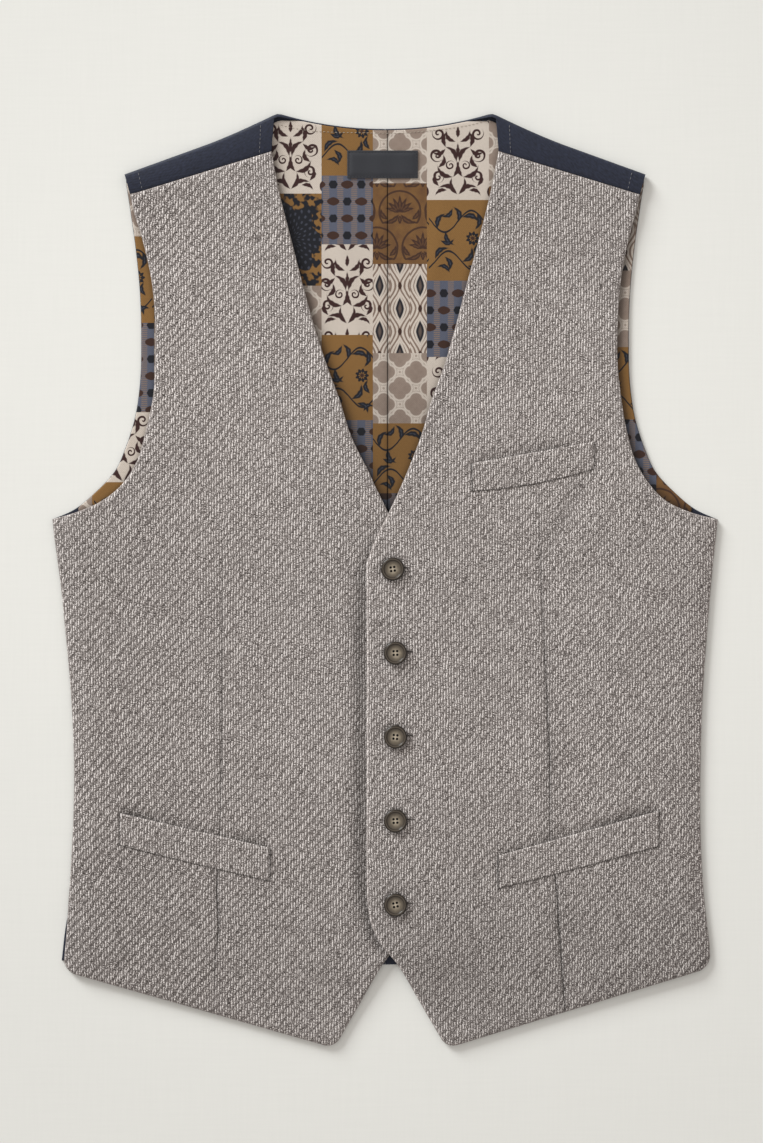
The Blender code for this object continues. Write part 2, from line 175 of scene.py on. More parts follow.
RIGHT_FRONT_SKIRT = table(
    Section,
    (37.6, -346.7, 238.4, -289.4), (20.0, -316.0, 237.3, -277.0), (1.7, -284.6, 236.0, -262.0),
    (-8.6, -270.6, 235.2, -250.0), (-15.8, -257.0, 234.5, -238.0), (-19.4, -241.0, 233.4, -224.0),
    (-20.2, -218.0, 232.4, -207.0), (-20.2, -176.0, 230.7, -170.0), (-20.2, -128.0, 230.5, -130.0),
    (-20.2, -80.0, 232.9, -81.0), (-20.2, -34.0, 237.2, -34.0), (-20.2, -4.0, 240.2, -4.0),
    (-19.6, 13.0, 242.7, 15.0), (-14.2, 27.5, 244.9, 31.0), (-2.6, 49.6, 246.4, 45.0),
)
RIGHT_FRONT_CHEST = table(
    Section,
    (-2.6, 49.6, 246.4, 45.0), (2.0, 59.0, 228.0, 50.4), (7.0, 69.0, 210.0, 58.4),
    (12.4, 81.0, 194.0, 71.6), (18.6, 93.0, 183.4, 88.4), (25.6, 108.0, 177.2, 110.0),
    (33.4, 133.0, 171.6, 136.5), (43.0, 159.0, 170.2, 163.0), (53.0, 190.0, 170.2, 193.0),
    (62.2, 224.0, 173.2, 224.0), (70.4, 256.0, 180.4, 255.0), (78.2, 287.0, 185.4, 271.0),
    (84.0, 317.2, 188.6, 285.2),
)
BACK_SKIRT = table(
    Section,
    (0.0, -285.0, 239.6, -282.0), (0.0, -262.0, 237.4, -262.0), (0.0, -236.0, 233.7, -238.0),
    (0.0, -204.0, 231.0, -204.0), (0.0, -166.0, 229.7, -166.0), (0.0, -124.0, 229.7, -124.0),
    (0.0, -84.0, 232.0, -84.0), (0.0, -36.0, 236.2, -36.0), (0.0, 6.0, 240.6, 4.0),
    (0.0, 49.0, 246.3, 45.0),
)
BACK_SHOULDER = table(
    Section,
    (0.0, 49.0, 246.3, 45.0), (0.0, 56.0, 231.0, 51.8), (0.0, 66.0, 213.6, 66.0),
    (0.0, 80.0, 200.3, 80.6), (0.0, 97.0, 192.7, 97.0), (0.0, 118.0, 185.9, 118.0),
    (0.0, 146.0, 181.6, 146.0), (0.0, 178.0, 180.7, 178.0), (0.0, 214.0, 181.6, 212.0),
    (0.0, 252.0, 184.9, 246.0), (0.0, 294.0, 189.0, 275.0), (0.0, 334.3, 193.0, 300.4),
)


# ---- sums on arrays


def ease(value: Array | float, start: float, end: float) -> Array:
    """0 up to start, 1 from end on, and smooth between them.

    Args:
        value: What is tested.
        start: Where the rise starts.
        end: Where it ends; it may be below start.
    Returns:
        The share reached, from 0 to 1.
    """
    t = np.clip((np.asarray(value, float) - start) / (end - start), 0.0, 1.0)
    return t * t * (3.0 - 2.0 * t)


def dense_rows(table: Sequence[Section], spacing: float) -> Array:
    """Rows on a smooth curve through each column of a table.

    Args:
        table: The sections, from the hem upwards.
        spacing: The most distance between two rows.
    Returns:
        An array of rows, each as a section.
    """
    rows = np.array(table, float)
    steps = np.diff(rows, axis=0)
    inner, outer = np.hypot(*steps[:, :2].T), np.hypot(*steps[:, 2:].T)
    lengths = inner + outer
    slopes = np.gradient(rows, np.concatenate([[0.0], np.cumsum(lengths)]), axis=0)
    made = [rows[:1]]
    for k, length in enumerate(lengths):
        count = max(1, math.ceil(max(inner[k], outer[k]) / spacing))
        t = (np.arange(1, count + 1) / count)[:, None]
        made.append(
            (2 * t**3 - 3 * t**2 + 1) * rows[k]
            + (t**3 - 2 * t**2 + t) * length * slopes[k]
            + (3 * t**2 - 2 * t**3) * rows[k + 1]
            + (t**3 - t**2) * length * slopes[k + 1]
        )
    return np.concatenate(made)


def panel_rows(lower: Sequence[Section], upper: Sequence[Section], spacing: float) -> Array:
    """Rows of a panel from hem to shoulder, with a true corner at the underarm.

    Args:
        lower: Sections below the underarm.
        upper: Sections above it.
        spacing: The most distance between two rows.
    Returns:
        An array of rows.
    """
    return np.concatenate([dense_rows(lower, spacing), dense_rows(upper, spacing)[1:]])


def with_edge_rows(rows: Array, insets: Sequence[float], at_top: bool) -> Array:
    """More rows close to the first row, or to the last one.

    Args:
        rows: The panel's rows.
        insets: Distances from the edge row along the inner side.
        at_top: True for the last row.
    Returns:
        The rows with the new ones in place.
    """
    ordered = rows[::-1] if at_top else rows
    edge, nearby = ordered[0], ordered[1]
    length = np.hypot(*(nearby - edge)[:2])
    extra = [edge + (nearby - edge) * inset / length for inset in insets if inset < 0.8 * length]
    ordered = np.concatenate([[edge], extra, ordered[1:]])
    return ordered[::-1] if at_top else ordered


def rounded(place: Array, corner: Array, along: Array, up: Array, radius: float) -> Array:
    """Places near a corner, moved so that the corner becomes a quarter circle.

    Args:
        place: Points, as an array of any shape by 2.
        corner: The corner.
        along: Unit direction of one edge that leaves it.
        up: Unit direction of the other edge.
        radius: The round's radius.
    Returns:
        The points with those near the corner moved.
    """
    basis = np.linalg.inv(np.column_stack((along, up)))
    share = 1.0 - (place - corner) @ basis.T / radius
    near = (share > 0.0).all(axis=-1)
    a, b = np.clip(share[..., 0], 0.0, 1.0), np.clip(share[..., 1], 0.0, 1.0)
    round_a, round_b = a * np.sqrt(1.0 - b * b / 2.0), b * np.sqrt(1.0 - a * a / 2.0)
    moved = corner + radius * (
        (1.0 - round_a)[..., None] * along + (1.0 - round_b)[..., None] * up
    )
    return np.where(near[..., None], moved, place)


def bell(distance: Array, width: Array | float) -> Array:
    """A soft hump: 1 at distance 0, and about a third at its width."""
    return np.exp(-((distance / width) ** 2))


def unit(vector: Array) -> Array:
    """The vector, or each of a list of them, at length 1."""
    return vector / np.linalg.norm(vector, axis=-1, keepdims=True)


def from_line(x: Array, y: Array, line: Array) -> tuple[Array, Array, Array]:
    """Nearest place on a broken line.

    Args:
        x: Places across.
        y: Places up.
        line: The line's points, as an array of (x, y).
    Returns:
        Distances to the line, the segment's number, and the share along that segment.
    """
    best = np.full(x.shape, 1e9)
    segment, share = np.zeros(x.shape, int), np.zeros(x.shape)
    for k, (start, end) in enumerate(zip(line, line[1:])):
        step = end - start
        t = np.clip(((x - start[0]) * step[0] + (y - start[1]) * step[1]) / (step @ step), 0, 1)
        far = np.hypot(x - start[0] - t * step[0], y - start[1] - t * step[1])
        nearer = far < best
        best = np.where(nearer, far, best)
        segment, share = np.where(nearer, k, segment), np.where(nearer, t, share)
    return best, segment, share


def outline(plan: Array) -> Array:
    """The outer points of a grid of places, as a closed line."""
    return np.concatenate([plan[0], plan[1:, -1], plan[-1, -2::-1], plan[-2::-1, 0]])


def beside(x: Array, y: Array, line: Array, *values: Array) -> tuple[Array, ...]:
    """Distances to a broken line, and its values at the nearest place on it.

    Args:
        x: Places across.
        y: Places up.
        line: The line's points, as an array of (x, y).
        values: Lists with one value for each of its points.
    Returns:
        The distances, then an array for each list.
    """
    far, segment, share = from_line(x, y, line)
    carried = [each[segment] * (1 - share) + each[segment + 1] * share for each in values]
    return far, *carried


def creased(x: Array, y: Array, creases: Sequence[Sequence[Bend]]) -> Array:
    """How far the cloth rises or sinks at its creases.

    Args:
        x: Places across.
        y: Places up.
        creases: Lines of bends; each is a soft ridge or trough.
    Returns:
        Heights to add.
    """
    total = np.zeros(x.shape)
    for crease in creases:
        bends = np.array(crease, float)
        far, rise, width = beside(x, y, bends[:, :2], bends[:, 2], bends[:, 3])
        total += rise * bell(far, width)
    return total


class Swell(NamedTuple):
    """A long, low wave in the cloth."""

    height: float
    length: float
    heading: float
    phase: float


def swelled(x: Array, y: Array, swells: Sequence[Swell]) -> Array:
    """The sum of some long, low waves, each bent a little by the next.

    Args:
        x: Places across.
        y: Places up.
        swells: The waves.
    Returns:
        Heights to add.
    """
    total, bent = np.zeros(x.shape), np.zeros(x.shape)
    for swell in swells:
        way = math.radians(swell.heading)
        run = x * math.cos(way) + y * math.sin(way)
        wave = np.sin(2 * math.pi * run / swell.length + swell.phase + 0.9 * bent)
        total += swell.height * wave
        bent = wave
    return total


def round_edge(distance: Array, radius: float, least: float = 0.2) -> Array:
    """The share of a wall's half thickness that is left near a rounded edge.

    Args:
        distance: Distance from the edge.
        radius: The round's radius.
        least: The share at the very edge.
    Returns:
        Shares from least to 1.
    """
    t = np.clip(distance / radius, 0.0, 1.0)
    return np.maximum(np.sqrt(1.0 - (1.0 - t) ** 2), least)


# ---- meshes


def keep(name: str, bm: BMesh, material: Material) -> Object:
    """Makes an object of a bmesh, with its normals facing out.

    Args:
        name: The object's name.
        bm: The mesh, in metres; it is freed.
        material: Its finish.
    Returns:
        The new object, linked to the scene.
    """
    bmesh.ops.recalc_face_normals(bm, faces=bm.faces[:])
    mesh = bpy.data.meshes.new(name)
    bm.to_mesh(mesh)
    bm.free()
    mesh.shade_smooth()
    mesh.materials.append(material)
    obj = bpy.data.objects.new(name, mesh)
    bpy.context.scene.collection.objects.link(obj)
    return obj


def paint(obj: Object, grain: Array, marks: dict[str, Array]) -> None:
    """Gives a mesh its cloth coordinates and painted values, both per point.

    Args:
        obj: The object.
        grain: Places on the cloth, in metres, one for each vertex.
        marks: Painted values by name, one for each vertex.
    """
    mesh = obj.data
    corners = np.empty(len(mesh.loops), np.int32)
    mesh.loops.foreach_get("vertex_index", corners)
    layer = mesh.uv_layers.new(name="cloth")
    layer.data.foreach_set("uv", grain[corners].astype(np.float32).ravel())
    for name, values in marks.items():
        attribute = mesh.attributes.new(name, "FLOAT", "POINT")
        attribute.data.foreach_set("value", values.astype(np.float32))


@dataclass
class Shell:
    """A sheet of cloth as a closed shell over a grid of points."""

    name: str
    plan: Array
    under: Array
    over: Array
    material: Material
    marks: dict[str, Array] = field(default_factory=dict)
    grain_shift: tuple[float, float] = (0.0, 0.0)

    def grain(self) -> Array:
        """Lets the plan out by what the cloth's slopes take up.

        Returns:
            Places on the cloth, in metres.
        """
        middle = (self.under + self.over) / 2.0
        step = np.diff(self.plan, axis=1)
        flat = np.hypot(step[..., 0], step[..., 1])
        extra = np.sqrt(flat**2 + np.diff(middle, axis=1) ** 2) - flat
        extra = np.concatenate([np.zeros((len(extra), 1)), np.cumsum(extra, axis=1)], axis=1)
        extra -= extra[:, extra.shape[1] // 2][:, None]
        way = np.sign(self.plan[:, -1, 0] - self.plan[:, 0, 0])[:, None]
        spread = self.plan + np.stack([extra * way, np.zeros_like(extra)], axis=-1)
        return (spread + self.grain_shift) * MM

    def build(self) -> Object:
        """Builds the shell from one grid, drawn out to its two faces.

        Returns:
            The finished object.
        """
        rows, columns = self.under.shape
        bm = bmesh.new()
        bmesh.ops.create_grid(bm, x_segments=columns - 1, y_segments=rows - 1, size=1.0)
        made = bmesh.ops.extrude_face_region(bm, geom=bm.faces[:])
        upper = [item for item in made["geom"] if isinstance(item, bmesh.types.BMVert)]
        bmesh.ops.translate(bm, verts=upper, vec=(0.0, 0.0, 1.0))
        obj = keep(self.name, bm, self.material)
        raw = np.empty(len(obj.data.vertices) * 3, np.float32)
        obj.data.vertices.foreach_get("co", raw)
        raw = raw.reshape(-1, 3)
        row = np.rint((raw[:, 1] + 1.0) / 2.0 * (rows - 1)).astype(int)
        column = np.rint((raw[:, 0] + 1.0) / 2.0 * (columns - 1)).astype(int)
        height = np.where(raw[:, 2] > 0.5, self.over[row, column], self.under[row, column])
        places = np.column_stack([self.plan[row, column], height]) * MM
        obj.data.vertices.foreach_set("co", places.astype(np.float32).ravel())
        if self.plan[0, -1, 0] < self.plan[0, 0, 0]:
            obj.data.flip_normals()
        obj.data.update()
        marks = {name: values[row, column] for name, values in self.marks.items()}
        paint(obj, self.grain()[row, column], marks)
        return obj


def tube(
    bm: BMesh, path: Array, radii: Array, sides: int = 6, closed: bool = False
) -> None:
    """Adds a tube along a path to a bmesh: a grid rolled up round the path.

    Args:
        bm: The mesh that takes it.
        path: Points in metres.
        radii: The tube's radius at each point, in metres; 0 at an end closes it there.
        sides: Faces round the tube.
        closed: True where the last point joins the first.
    """
    count = len(path)
    made = bmesh.ops.create_grid(bm, x_segments=sides, y_segments=count - (not closed), size=1.0)
    rows = count if closed else count - 1
    ahead = np.roll(path, -1, axis=0) - np.roll(path, 1, axis=0)
    if not closed:
        ahead[0], ahead[-1] = path[1] - path[0], path[-1] - path[-2]
    for vert in made["verts"]:
        k = round((vert.co.y + 1.0) / 2.0 * rows) % count
        angle = 2.0 * math.pi * (vert.co.x + 1.0) / 2.0
        way = unit(ahead[k])
        side = unit(np.cross(way, (0.0, 0.0, 1.0)))
        lift = np.cross(side, way)
        vert.co = path[k] + radii[k] * (math.cos(angle) * side + math.sin(angle) * lift)
    bmesh.ops.remove_doubles(bm, verts=[v for v in made["verts"] if v.is_valid], dist=1e-6)


def post(bm: BMesh, radii: tuple[float, float], depth: float, centre: Vector, sides: int) -> None:
    """Adds an upright post to a bmesh.

    Args:
        bm: The mesh that takes it.
        radii: Its lower and upper radius.
        depth: Its height.
        centre: Its middle, in metres.
        sides: Faces round it.
    """
    made = bmesh.ops.create_cone(
        bm, cap_ends=True, segments=sides,
        radius1=radii[0] * MM, radius2=radii[1] * MM, depth=depth * MM,
    )
    bmesh.ops.translate(bm, verts=made["verts"], vec=centre)


# ---- materials


class Value:
    """A number or colour that runs through a material's nodes."""

    def __init__(self, recipe: "Recipe", socket: bpy.types.NodeSocket) -> None:
        """Wraps one output socket of a recipe's node."""
        self.recipe = recipe
        self.socket = socket

    def out(self, name: str) -> "Value":
        """Another output of the same node."""
        return Value(self.recipe, self.socket.node.outputs[name])

    def sum(self, operation: str, *others: "Value | float") -> "Value":
        """One Math node on this value and others."""
        return self.recipe.math(operation, self, *others)

    def __add__(self, other: "Value | float") -> "Value":
        """self + other."""
        return self.sum("ADD", other)

    __radd__ = __add__

    def __sub__(self, other: "Value | float") -> "Value":
        """self - other."""
        return self.sum("SUBTRACT", other)

    def __rsub__(self, other: float) -> "Value":
        """other - self."""
        return self.recipe.math("SUBTRACT", other, self)

    def __mul__(self, other: "Value | float") -> "Value":
        """self * other."""
        return self.sum("MULTIPLY", other)

    __rmul__ = __mul__

    def __truediv__(self, other: "Value | float") -> "Value":
        """self / other."""
        return self.sum("DIVIDE", other)

    def __rtruediv__(self, other: float) -> "Value":
        """other / self."""
        return self.recipe.math("DIVIDE", other, self)

    def __pow__(self, other: float) -> "Value":
        """self ** other."""
        return self.sum("POWER", other)

    def __mod__(self, other: float) -> "Value":
        """self % other, never below 0."""
        return self.sum("FLOORED_MODULO", other)

    def __abs__(self) -> "Value":
        """The distance from 0."""
        return self.sum("ABSOLUTE")

    def floor(self) -> "Value":
        """The whole number at or below."""
        return self.sum("FLOOR")

    def fract(self) -> "Value":
        """What is left above that."""
        return self.sum("FRACT")

    def sin(self) -> "Value":
        """The sine."""
        return self.sum("SINE")

    def cos(self) -> "Value":
        """The cosine."""
        return self.sum("COSINE")

    def least(self, other: "Value | float") -> "Value":
        """The lower of the two."""
        return self.sum("MINIMUM", other)

    def most(self, other: "Value | float") -> "Value":
        """The higher of the two."""
        return self.sum("MAXIMUM", other)

    def wave(self, pitch: float) -> "Value":
        """Up from 0 to 1 and down again once in every pitch."""
        return (self * (2.0 * math.pi / pitch)).sin() * 0.5 + 0.5

    def wrap(self, period: float) -> "Value":
        """The distance from the nearest whole number of periods, with its sign."""
        return self - (self / period).sum("ROUND") * period

    def step(self, start: float, end: float) -> "Value":
        """Smooth from 0 at start to 1 at end."""
        sockets = {"Value": self, "From Min": start, "From Max": end}
        return self.recipe.node("ShaderNodeMapRange", {"interpolation_type": "SMOOTHSTEP"}, sockets)

    def inside(self, soft: float = 0.15) -> "Value":
        """1 where this distance is below 0, with a soft edge."""
        return 1.0 - self.step(-soft, soft)


class Recipe:
    """Writes one material: its nodes and the shader that they feed."""

    def __init__(self, name: str) -> None:
        """Starts an empty node tree of that name.

        Args:
            name: The material's name.
        """
        self.material = bpy.data.materials.new(name)
        self.material.use_nodes = True
        self.tree = self.material.node_tree
        self.tree.nodes.clear()

    def node(
        self,
        kind: str,
        settings: dict | None = None,
        sockets: dict | None = None,
        output: int | str = 0,
    ) -> Value:
        """Adds a node.

        Args:
            kind: The node's type.
            settings: Its properties, which are set first.
            sockets: What its inputs take: a Value, or a constant.
            output: The output that is handed back.
        Returns:
            That output.
        """
        made = self.tree.nodes.new(kind)
        for name, value in (settings or {}).items():
            if name == "stops":
                self.set_stops(made.color_ramp, value)
            else:
                setattr(made, name, value)
        for key, value in (sockets or {}).items():
            if isinstance(value, Value):
                self.tree.links.new(value.socket, made.inputs[key])
            else:
                made.inputs[key].default_value = value
        return Value(self, made.outputs[output])

    @staticmethod
    def set_stops(ramp: bpy.types.ColorRamp, stops: Sequence[tuple[float, Colour]]) -> None:
        """Sets a ramp's stops, which start at two.

        Args:
            ramp: The ramp.
            stops: Places from 0 to 1, each with its colour.
        """
        while len(ramp.elements) < len(stops):
            ramp.elements.new(1.0)
        for element, (place, colour) in zip(ramp.elements, stops):
            element.position, element.color = place, (*colour, 1.0)

    def math(self, operation: str, *values: Value | float) -> Value:
        """A Math node of that operation on the values."""
        return self.node("ShaderNodeMath", {"operation": operation}, dict(enumerate(values)))

    def vector(self, operation: str, *values: Value | Sequence[float]) -> Value:
        """A Vector Math node of that operation on the values."""
        return self.node("ShaderNodeVectorMath", {"operation": operation}, dict(enumerate(values)))

    def join(self, x: Value | float, y: Value | float, z: Value | float = 0.0) -> Value:
        """A vector of three numbers."""
        return self.node("ShaderNodeCombineXYZ", None, {0: x, 1: y, 2: z})

    def mix(self, share: Value | float, below: Value | Colour, above: Value | Colour) -> Value:
        """Two colours mixed by a share: below at 0, above at 1."""
        low, high = (c if isinstance(c, Value) else (*c, 1.0) for c in (below, above))
        return self.node("ShaderNodeMix", {"data_type": "RGBA"}, {0: share, 6: low, 7: high}, 2)

    def shade(self, colour: Value, tone: Value | float) -> Value:
        """A colour made lighter or darker by a factor, or a place scaled by it."""
        settings = {"operation": "SCALE"}
        return self.node("ShaderNodeVectorMath", settings, {0: colour, "Scale": tone})

    def ramp(self, share: Value, *stops: tuple[float, Colour]) -> Value:
        """A colour from a ramp."""
        return self.node("ShaderNodeValToRGB", {"stops": stops}, {0: share})

    def grain(self) -> tuple[Value, Value]:
        """Places on the cloth, across and up, in millimetres.

        Returns:
            The two places.
        """
        place = self.shade(self.node("ShaderNodeUVMap", {"uv_map": "cloth"}), 1.0 / MM)
        apart = self.node("ShaderNodeSeparateXYZ", None, {0: place})
        return apart.out("X"), apart.out("Y")

    def place(self) -> Value:
        """Places in the garment's own frame, in metres."""
        return self.node("ShaderNodeTexCoord", None, None, "Object")

    def mark(self, name: str) -> Value:
        """A painted value."""
        return self.node("ShaderNodeAttribute", {"attribute_name": name}, None, "Fac")

    def noise(self, place: Value, size: float, detail: float = 2.0, rough: float = 0.5) -> Value:
        """Soft noise about 0, whose patches are about that size in the place's own unit."""
        sockets = {"Vector": place, "Scale": 1.0 / size, "Detail": detail, "Roughness": rough}
        return self.node("ShaderNodeTexNoise", {"noise_dimensions": "3D"}, sockets) - 0.5

    def chance(self, x: Value, y: Value | float = 0.0) -> Value:
        """A random number from 0 to 1 for each whole place."""
        settings = {"noise_dimensions": "2D"}
        return self.node("ShaderNodeTexWhiteNoise", settings, {"Vector": self.join(x, y)})

    def length(self, x: Value, y: Value) -> Value:
        """The distance of (x, y) from (0, 0)."""
        return (x * x + y * y).sum("SQRT")

    def finish(
        self,
        colour: Value,
        roughness: Value | float,
        height: Value,
        deep: float,
        strength: float,
        **constants: float,
    ) -> Material:
        """Feeds the shader and the output.

        Args:
            colour: The base colour.
            roughness: The roughness.
            height: What a bump follows, from 0 to 1.
            deep: How deep that bump is, in metres.
            strength: The bump's strength.
            constants: Other sockets of the shader, with _ for a space.
        Returns:
            The material.
        """
        bump = {"Height": height, "Distance": deep, "Strength": strength}
        sockets = {"Base Color": colour, "Roughness": roughness}
        sockets["Normal"] = self.node("ShaderNodeBump", None, bump)
        for name, value in constants.items():
            sockets[name.replace("_", " ")] = value
        shader = self.node("ShaderNodeBsdfPrincipled", None, sockets)
        made = self.tree.nodes.new("ShaderNodeOutputMaterial")
        self.tree.links.new(shader.socket, made.inputs["Surface"])
        return self.material


@dataclass(frozen=True)
class MarledTwill:
    """The fronts' chunky twill: columns of marled yarn whose floats climb to the right."""

    dark: Colour = (0.040, 0.032, 0.029)
    middle: Colour = (0.324, 0.283, 0.267)
    light: Colour = (0.930, 0.868, 0.840)
    column: float = 2.03
    float_length: float = 7.4
    float_step: float = 2.25
    lean: float = 0.56
    sink: float = 0.30
    sink_more: float = 0.32
    stray: float = 1.2
    marl: float = 3.2
    body: float = 0.63
    size: float = 0.87
    first_width: float = 0.29
    second_width: float = 0.14
    first_gain: float = 1.5
    second_gain: float = 0.85
    fuzz: float = 1.4
    fuzz_size: float = 0.82
    worn: float = 0.6
    jitter: float = 0.12
    drift: float = 0.26

    def strands(
        self, recipe: Recipe, across: Value, column: Value, y: Value, width: float, seed: float
    ) -> Value:
        """A strand of yarn in every column, lighter and darker along its length.

        Args:
            recipe: The material's recipe.
            across: Place across the column, 0 in the strand's middle and 0.5 half a column off.
            column: The column's number.
            y: Place up, in millimetres.
            width: The strand's half width as a share of a column.
            seed: A number that sets its random draws.
        Returns:
            Its tone, 0 beside it.
        """
        profile = (1.0 - (across / width) ** 2.0).most(0.0)
        marl = recipe.noise(recipe.join(column * 31.7, y / self.size, seed), 1.0, 1.0, 0.7)
        worn = recipe.noise(recipe.join(column * 13.3, y / 9.0, seed), 1.0, 0.0)
        return profile * (marl * self.marl + worn * self.worn + self.body).most(0.0)

    def build(self) -> Material:
        """Writes the material.

        Returns:
            The material.
        """
        recipe = Recipe("front_twill")
        x, y = recipe.grain()
        place = recipe.join(x, y)
        wander = recipe.noise(place, 60.0, 1.0) * 9.0
        x = x + recipe.noise(place, 17.0, 1.0) * 1.6 + wander * 0.3
        y = y + recipe.noise(recipe.join(x, y, 9.0), 19.0, 2.0) * 4.2 + wander
        twill = recipe.mark("twill") + recipe.noise(recipe.join(x, y, 30.0), 30.0, 1.0) * 0.4
        twill = twill.step(0.0, 1.0)
        even = recipe.mark("even")
        column = (x / self.column).floor()
        phase = (y - column * self.float_step) / self.float_length
        phase = phase + recipe.chance(column, 3.0) * self.jitter
        drift = recipe.noise(recipe.join(column * 17.3, y / 9.0, 4.0), 1.0, 1.0)
        phase = phase + drift * self.drift
        turn = phase * (2.0 * math.pi)
        tilt = (phase + 0.5).fract() - 0.5
        stray = recipe.noise(recipe.join(column * 5.9, y / 2.6, 6.0), 1.0, 0.0)
        stray = stray * (1.0 - even) * self.stray
        across = (x / self.column).fract() - 0.5 - tilt * (twill * 0.36 + 0.3) * self.lean - stray
        sunk = (1.0 - turn.cos().step(-1.0, 0.3)) * (twill * self.sink_more + self.sink)
        first = self.strands(recipe, across.wrap(1.0), column, y, self.first_width, 1.0)
        beside_it = (across - 0.46).wrap(1.0)
        second = self.strands(recipe, beside_it, column + 0.5, y, self.second_width, 7.0)
        fibres = recipe.noise(recipe.join(x * 1.5 - y * 0.3, y * 1.1), self.fuzz_size, 0.0)
        tone = (first * self.first_gain + second * self.second_gain) * (1.0 - sunk)
        tone = tone + fibres * self.fuzz - sunk * 0.08
        tone = tone + recipe.noise(place, 45.0, 1.0) * 0.04 + 0.04
        # Painted light line: within about a millimetre of every edge the weave is evened to a light
        # middle tone.
        rim = recipe.mark("rim")
        tone = (tone * 0.92 + 0.02) * (1.0 - rim * 0.65) + rim * 0.30
        colour = recipe.ramp(tone, (0.0, self.dark), (0.45, self.middle), (1.0, self.light))
        # Painted light and painted shade, both painted per point, scale the colour.
        colour = recipe.shade(colour, recipe.mark("painted_light_and_shade") * (1.0 - recipe.mark("painted_shade")))
        height = first + second * 0.7 + fibres * 0.2 - sunk * 0.4
        return recipe.finish(
            colour, 0.92, height, deep=0.00035, strength=0.7,
            Specular_IOR_Level=0.22, Sheen_Weight=0.10, Sheen_Roughness=0.6,
        )


@dataclass(frozen=True)
class PlainTwill:
    """The back shell's fine plain twill."""

    dark: Colour = (0.0048, 0.0064, 0.0150)
    light: Colour = (0.0250, 0.0315, 0.0625)
    pitch: float = 1.05
    yarn_pitch: float = 0.42

    def build(self) -> Material:
        """Writes the material.

        Returns:
            The material.
        """
        recipe = Recipe("back_twill")
        x, y = recipe.grain()
        rib, yarn = (x * 0.8 - y).wave(self.pitch), x.wave(self.yarn_pitch)
        place = recipe.join(x, y)
        slub = recipe.noise(recipe.join(x * 0.6, y * 1.2), 1.5, 2.0)
        cloud = recipe.noise(place, 22.0, 3.0)
        tone = rib * 0.40 + yarn * 0.15 + slub * 1.5 + cloud * 0.35 + 0.15
        colour = recipe.ramp(tone, (0.0, self.dark), (1.0, self.light))
        height = rib * 0.6 + yarn * 0.4 + slub * 0.4
        return recipe.finish(
            colour, 0.62 + slub * 0.15, height, deep=0.00012, strength=0.5,
            Specular_IOR_Level=0.35, Sheen_Weight=0.09, Sheen_Roughness=0.45,
        )


class Print(Enum):
    """The printed patches of the lining, each with its places in the deal."""

    FLORETS = (3, 1)
    TILES = (7, 5)
    BRANCHES = (6, 4)
    OGEES = (10,)
    SCROLLS = (0, 9)
    PALMETTES = (2,)
    ROSETTE = (8,)


class Leaf(NamedTuple):
    """A curved, pointed leaf of a print: its root, its turn in degrees, and its shape."""

    x: float
    y: float
    turn: float
    length: float
    width: float
    bend: float

    def drawn(self, x: Value, y: Value) -> Value:
        """How far a place lies outside the leaf, in shares of its width.

        Args:
            x: Places across.
            y: Places up.
        Returns:
            Distances, below 0 inside.
        """
        way = math.radians(self.turn)
        across, up = x - self.x, y - self.y
        along = (across * math.cos(way) + up * math.sin(way)) / self.length
        near = along.most(0.0).least(1.0)
        belly = near * (1.0 - near) * 4.0
        aside = (up * math.cos(way) - across * math.sin(way)) / self.width - belly * self.bend
        taper = belly * (1.30 - near * 0.8 + (near * 24.0).cos() * 0.08)
        return abs(aside) - taper + abs(along - near) * (self.length / self.width) + 0.10


class Curl(NamedTuple):
    """A coiled tendril of a print: its middle, its radius, its start and which way it turns."""

    x: float
    y: float
    radius: float
    start: float
    hand: float

    def drawn(self, recipe: Recipe, x: Value, y: Value) -> Value:
        """How far a place lies outside the tendril.

        Args:
            recipe: The material's recipe.
            x: Places across.
            y: Places up.
        Returns:
            Distances, below 0 inside.
        """
        across, up = (x - self.x) * self.hand, y - self.y
        reach = recipe.length(across, up) / self.radius
        angle = recipe.math("ARCTAN2", up, across) / (2.0 * math.pi) + self.start
        arm = abs((reach * 1.25 - angle).fract() - 0.5) - 0.15 - reach * 0.12
        return (arm * 4.0).most((reach - 1.0) * 5.0)


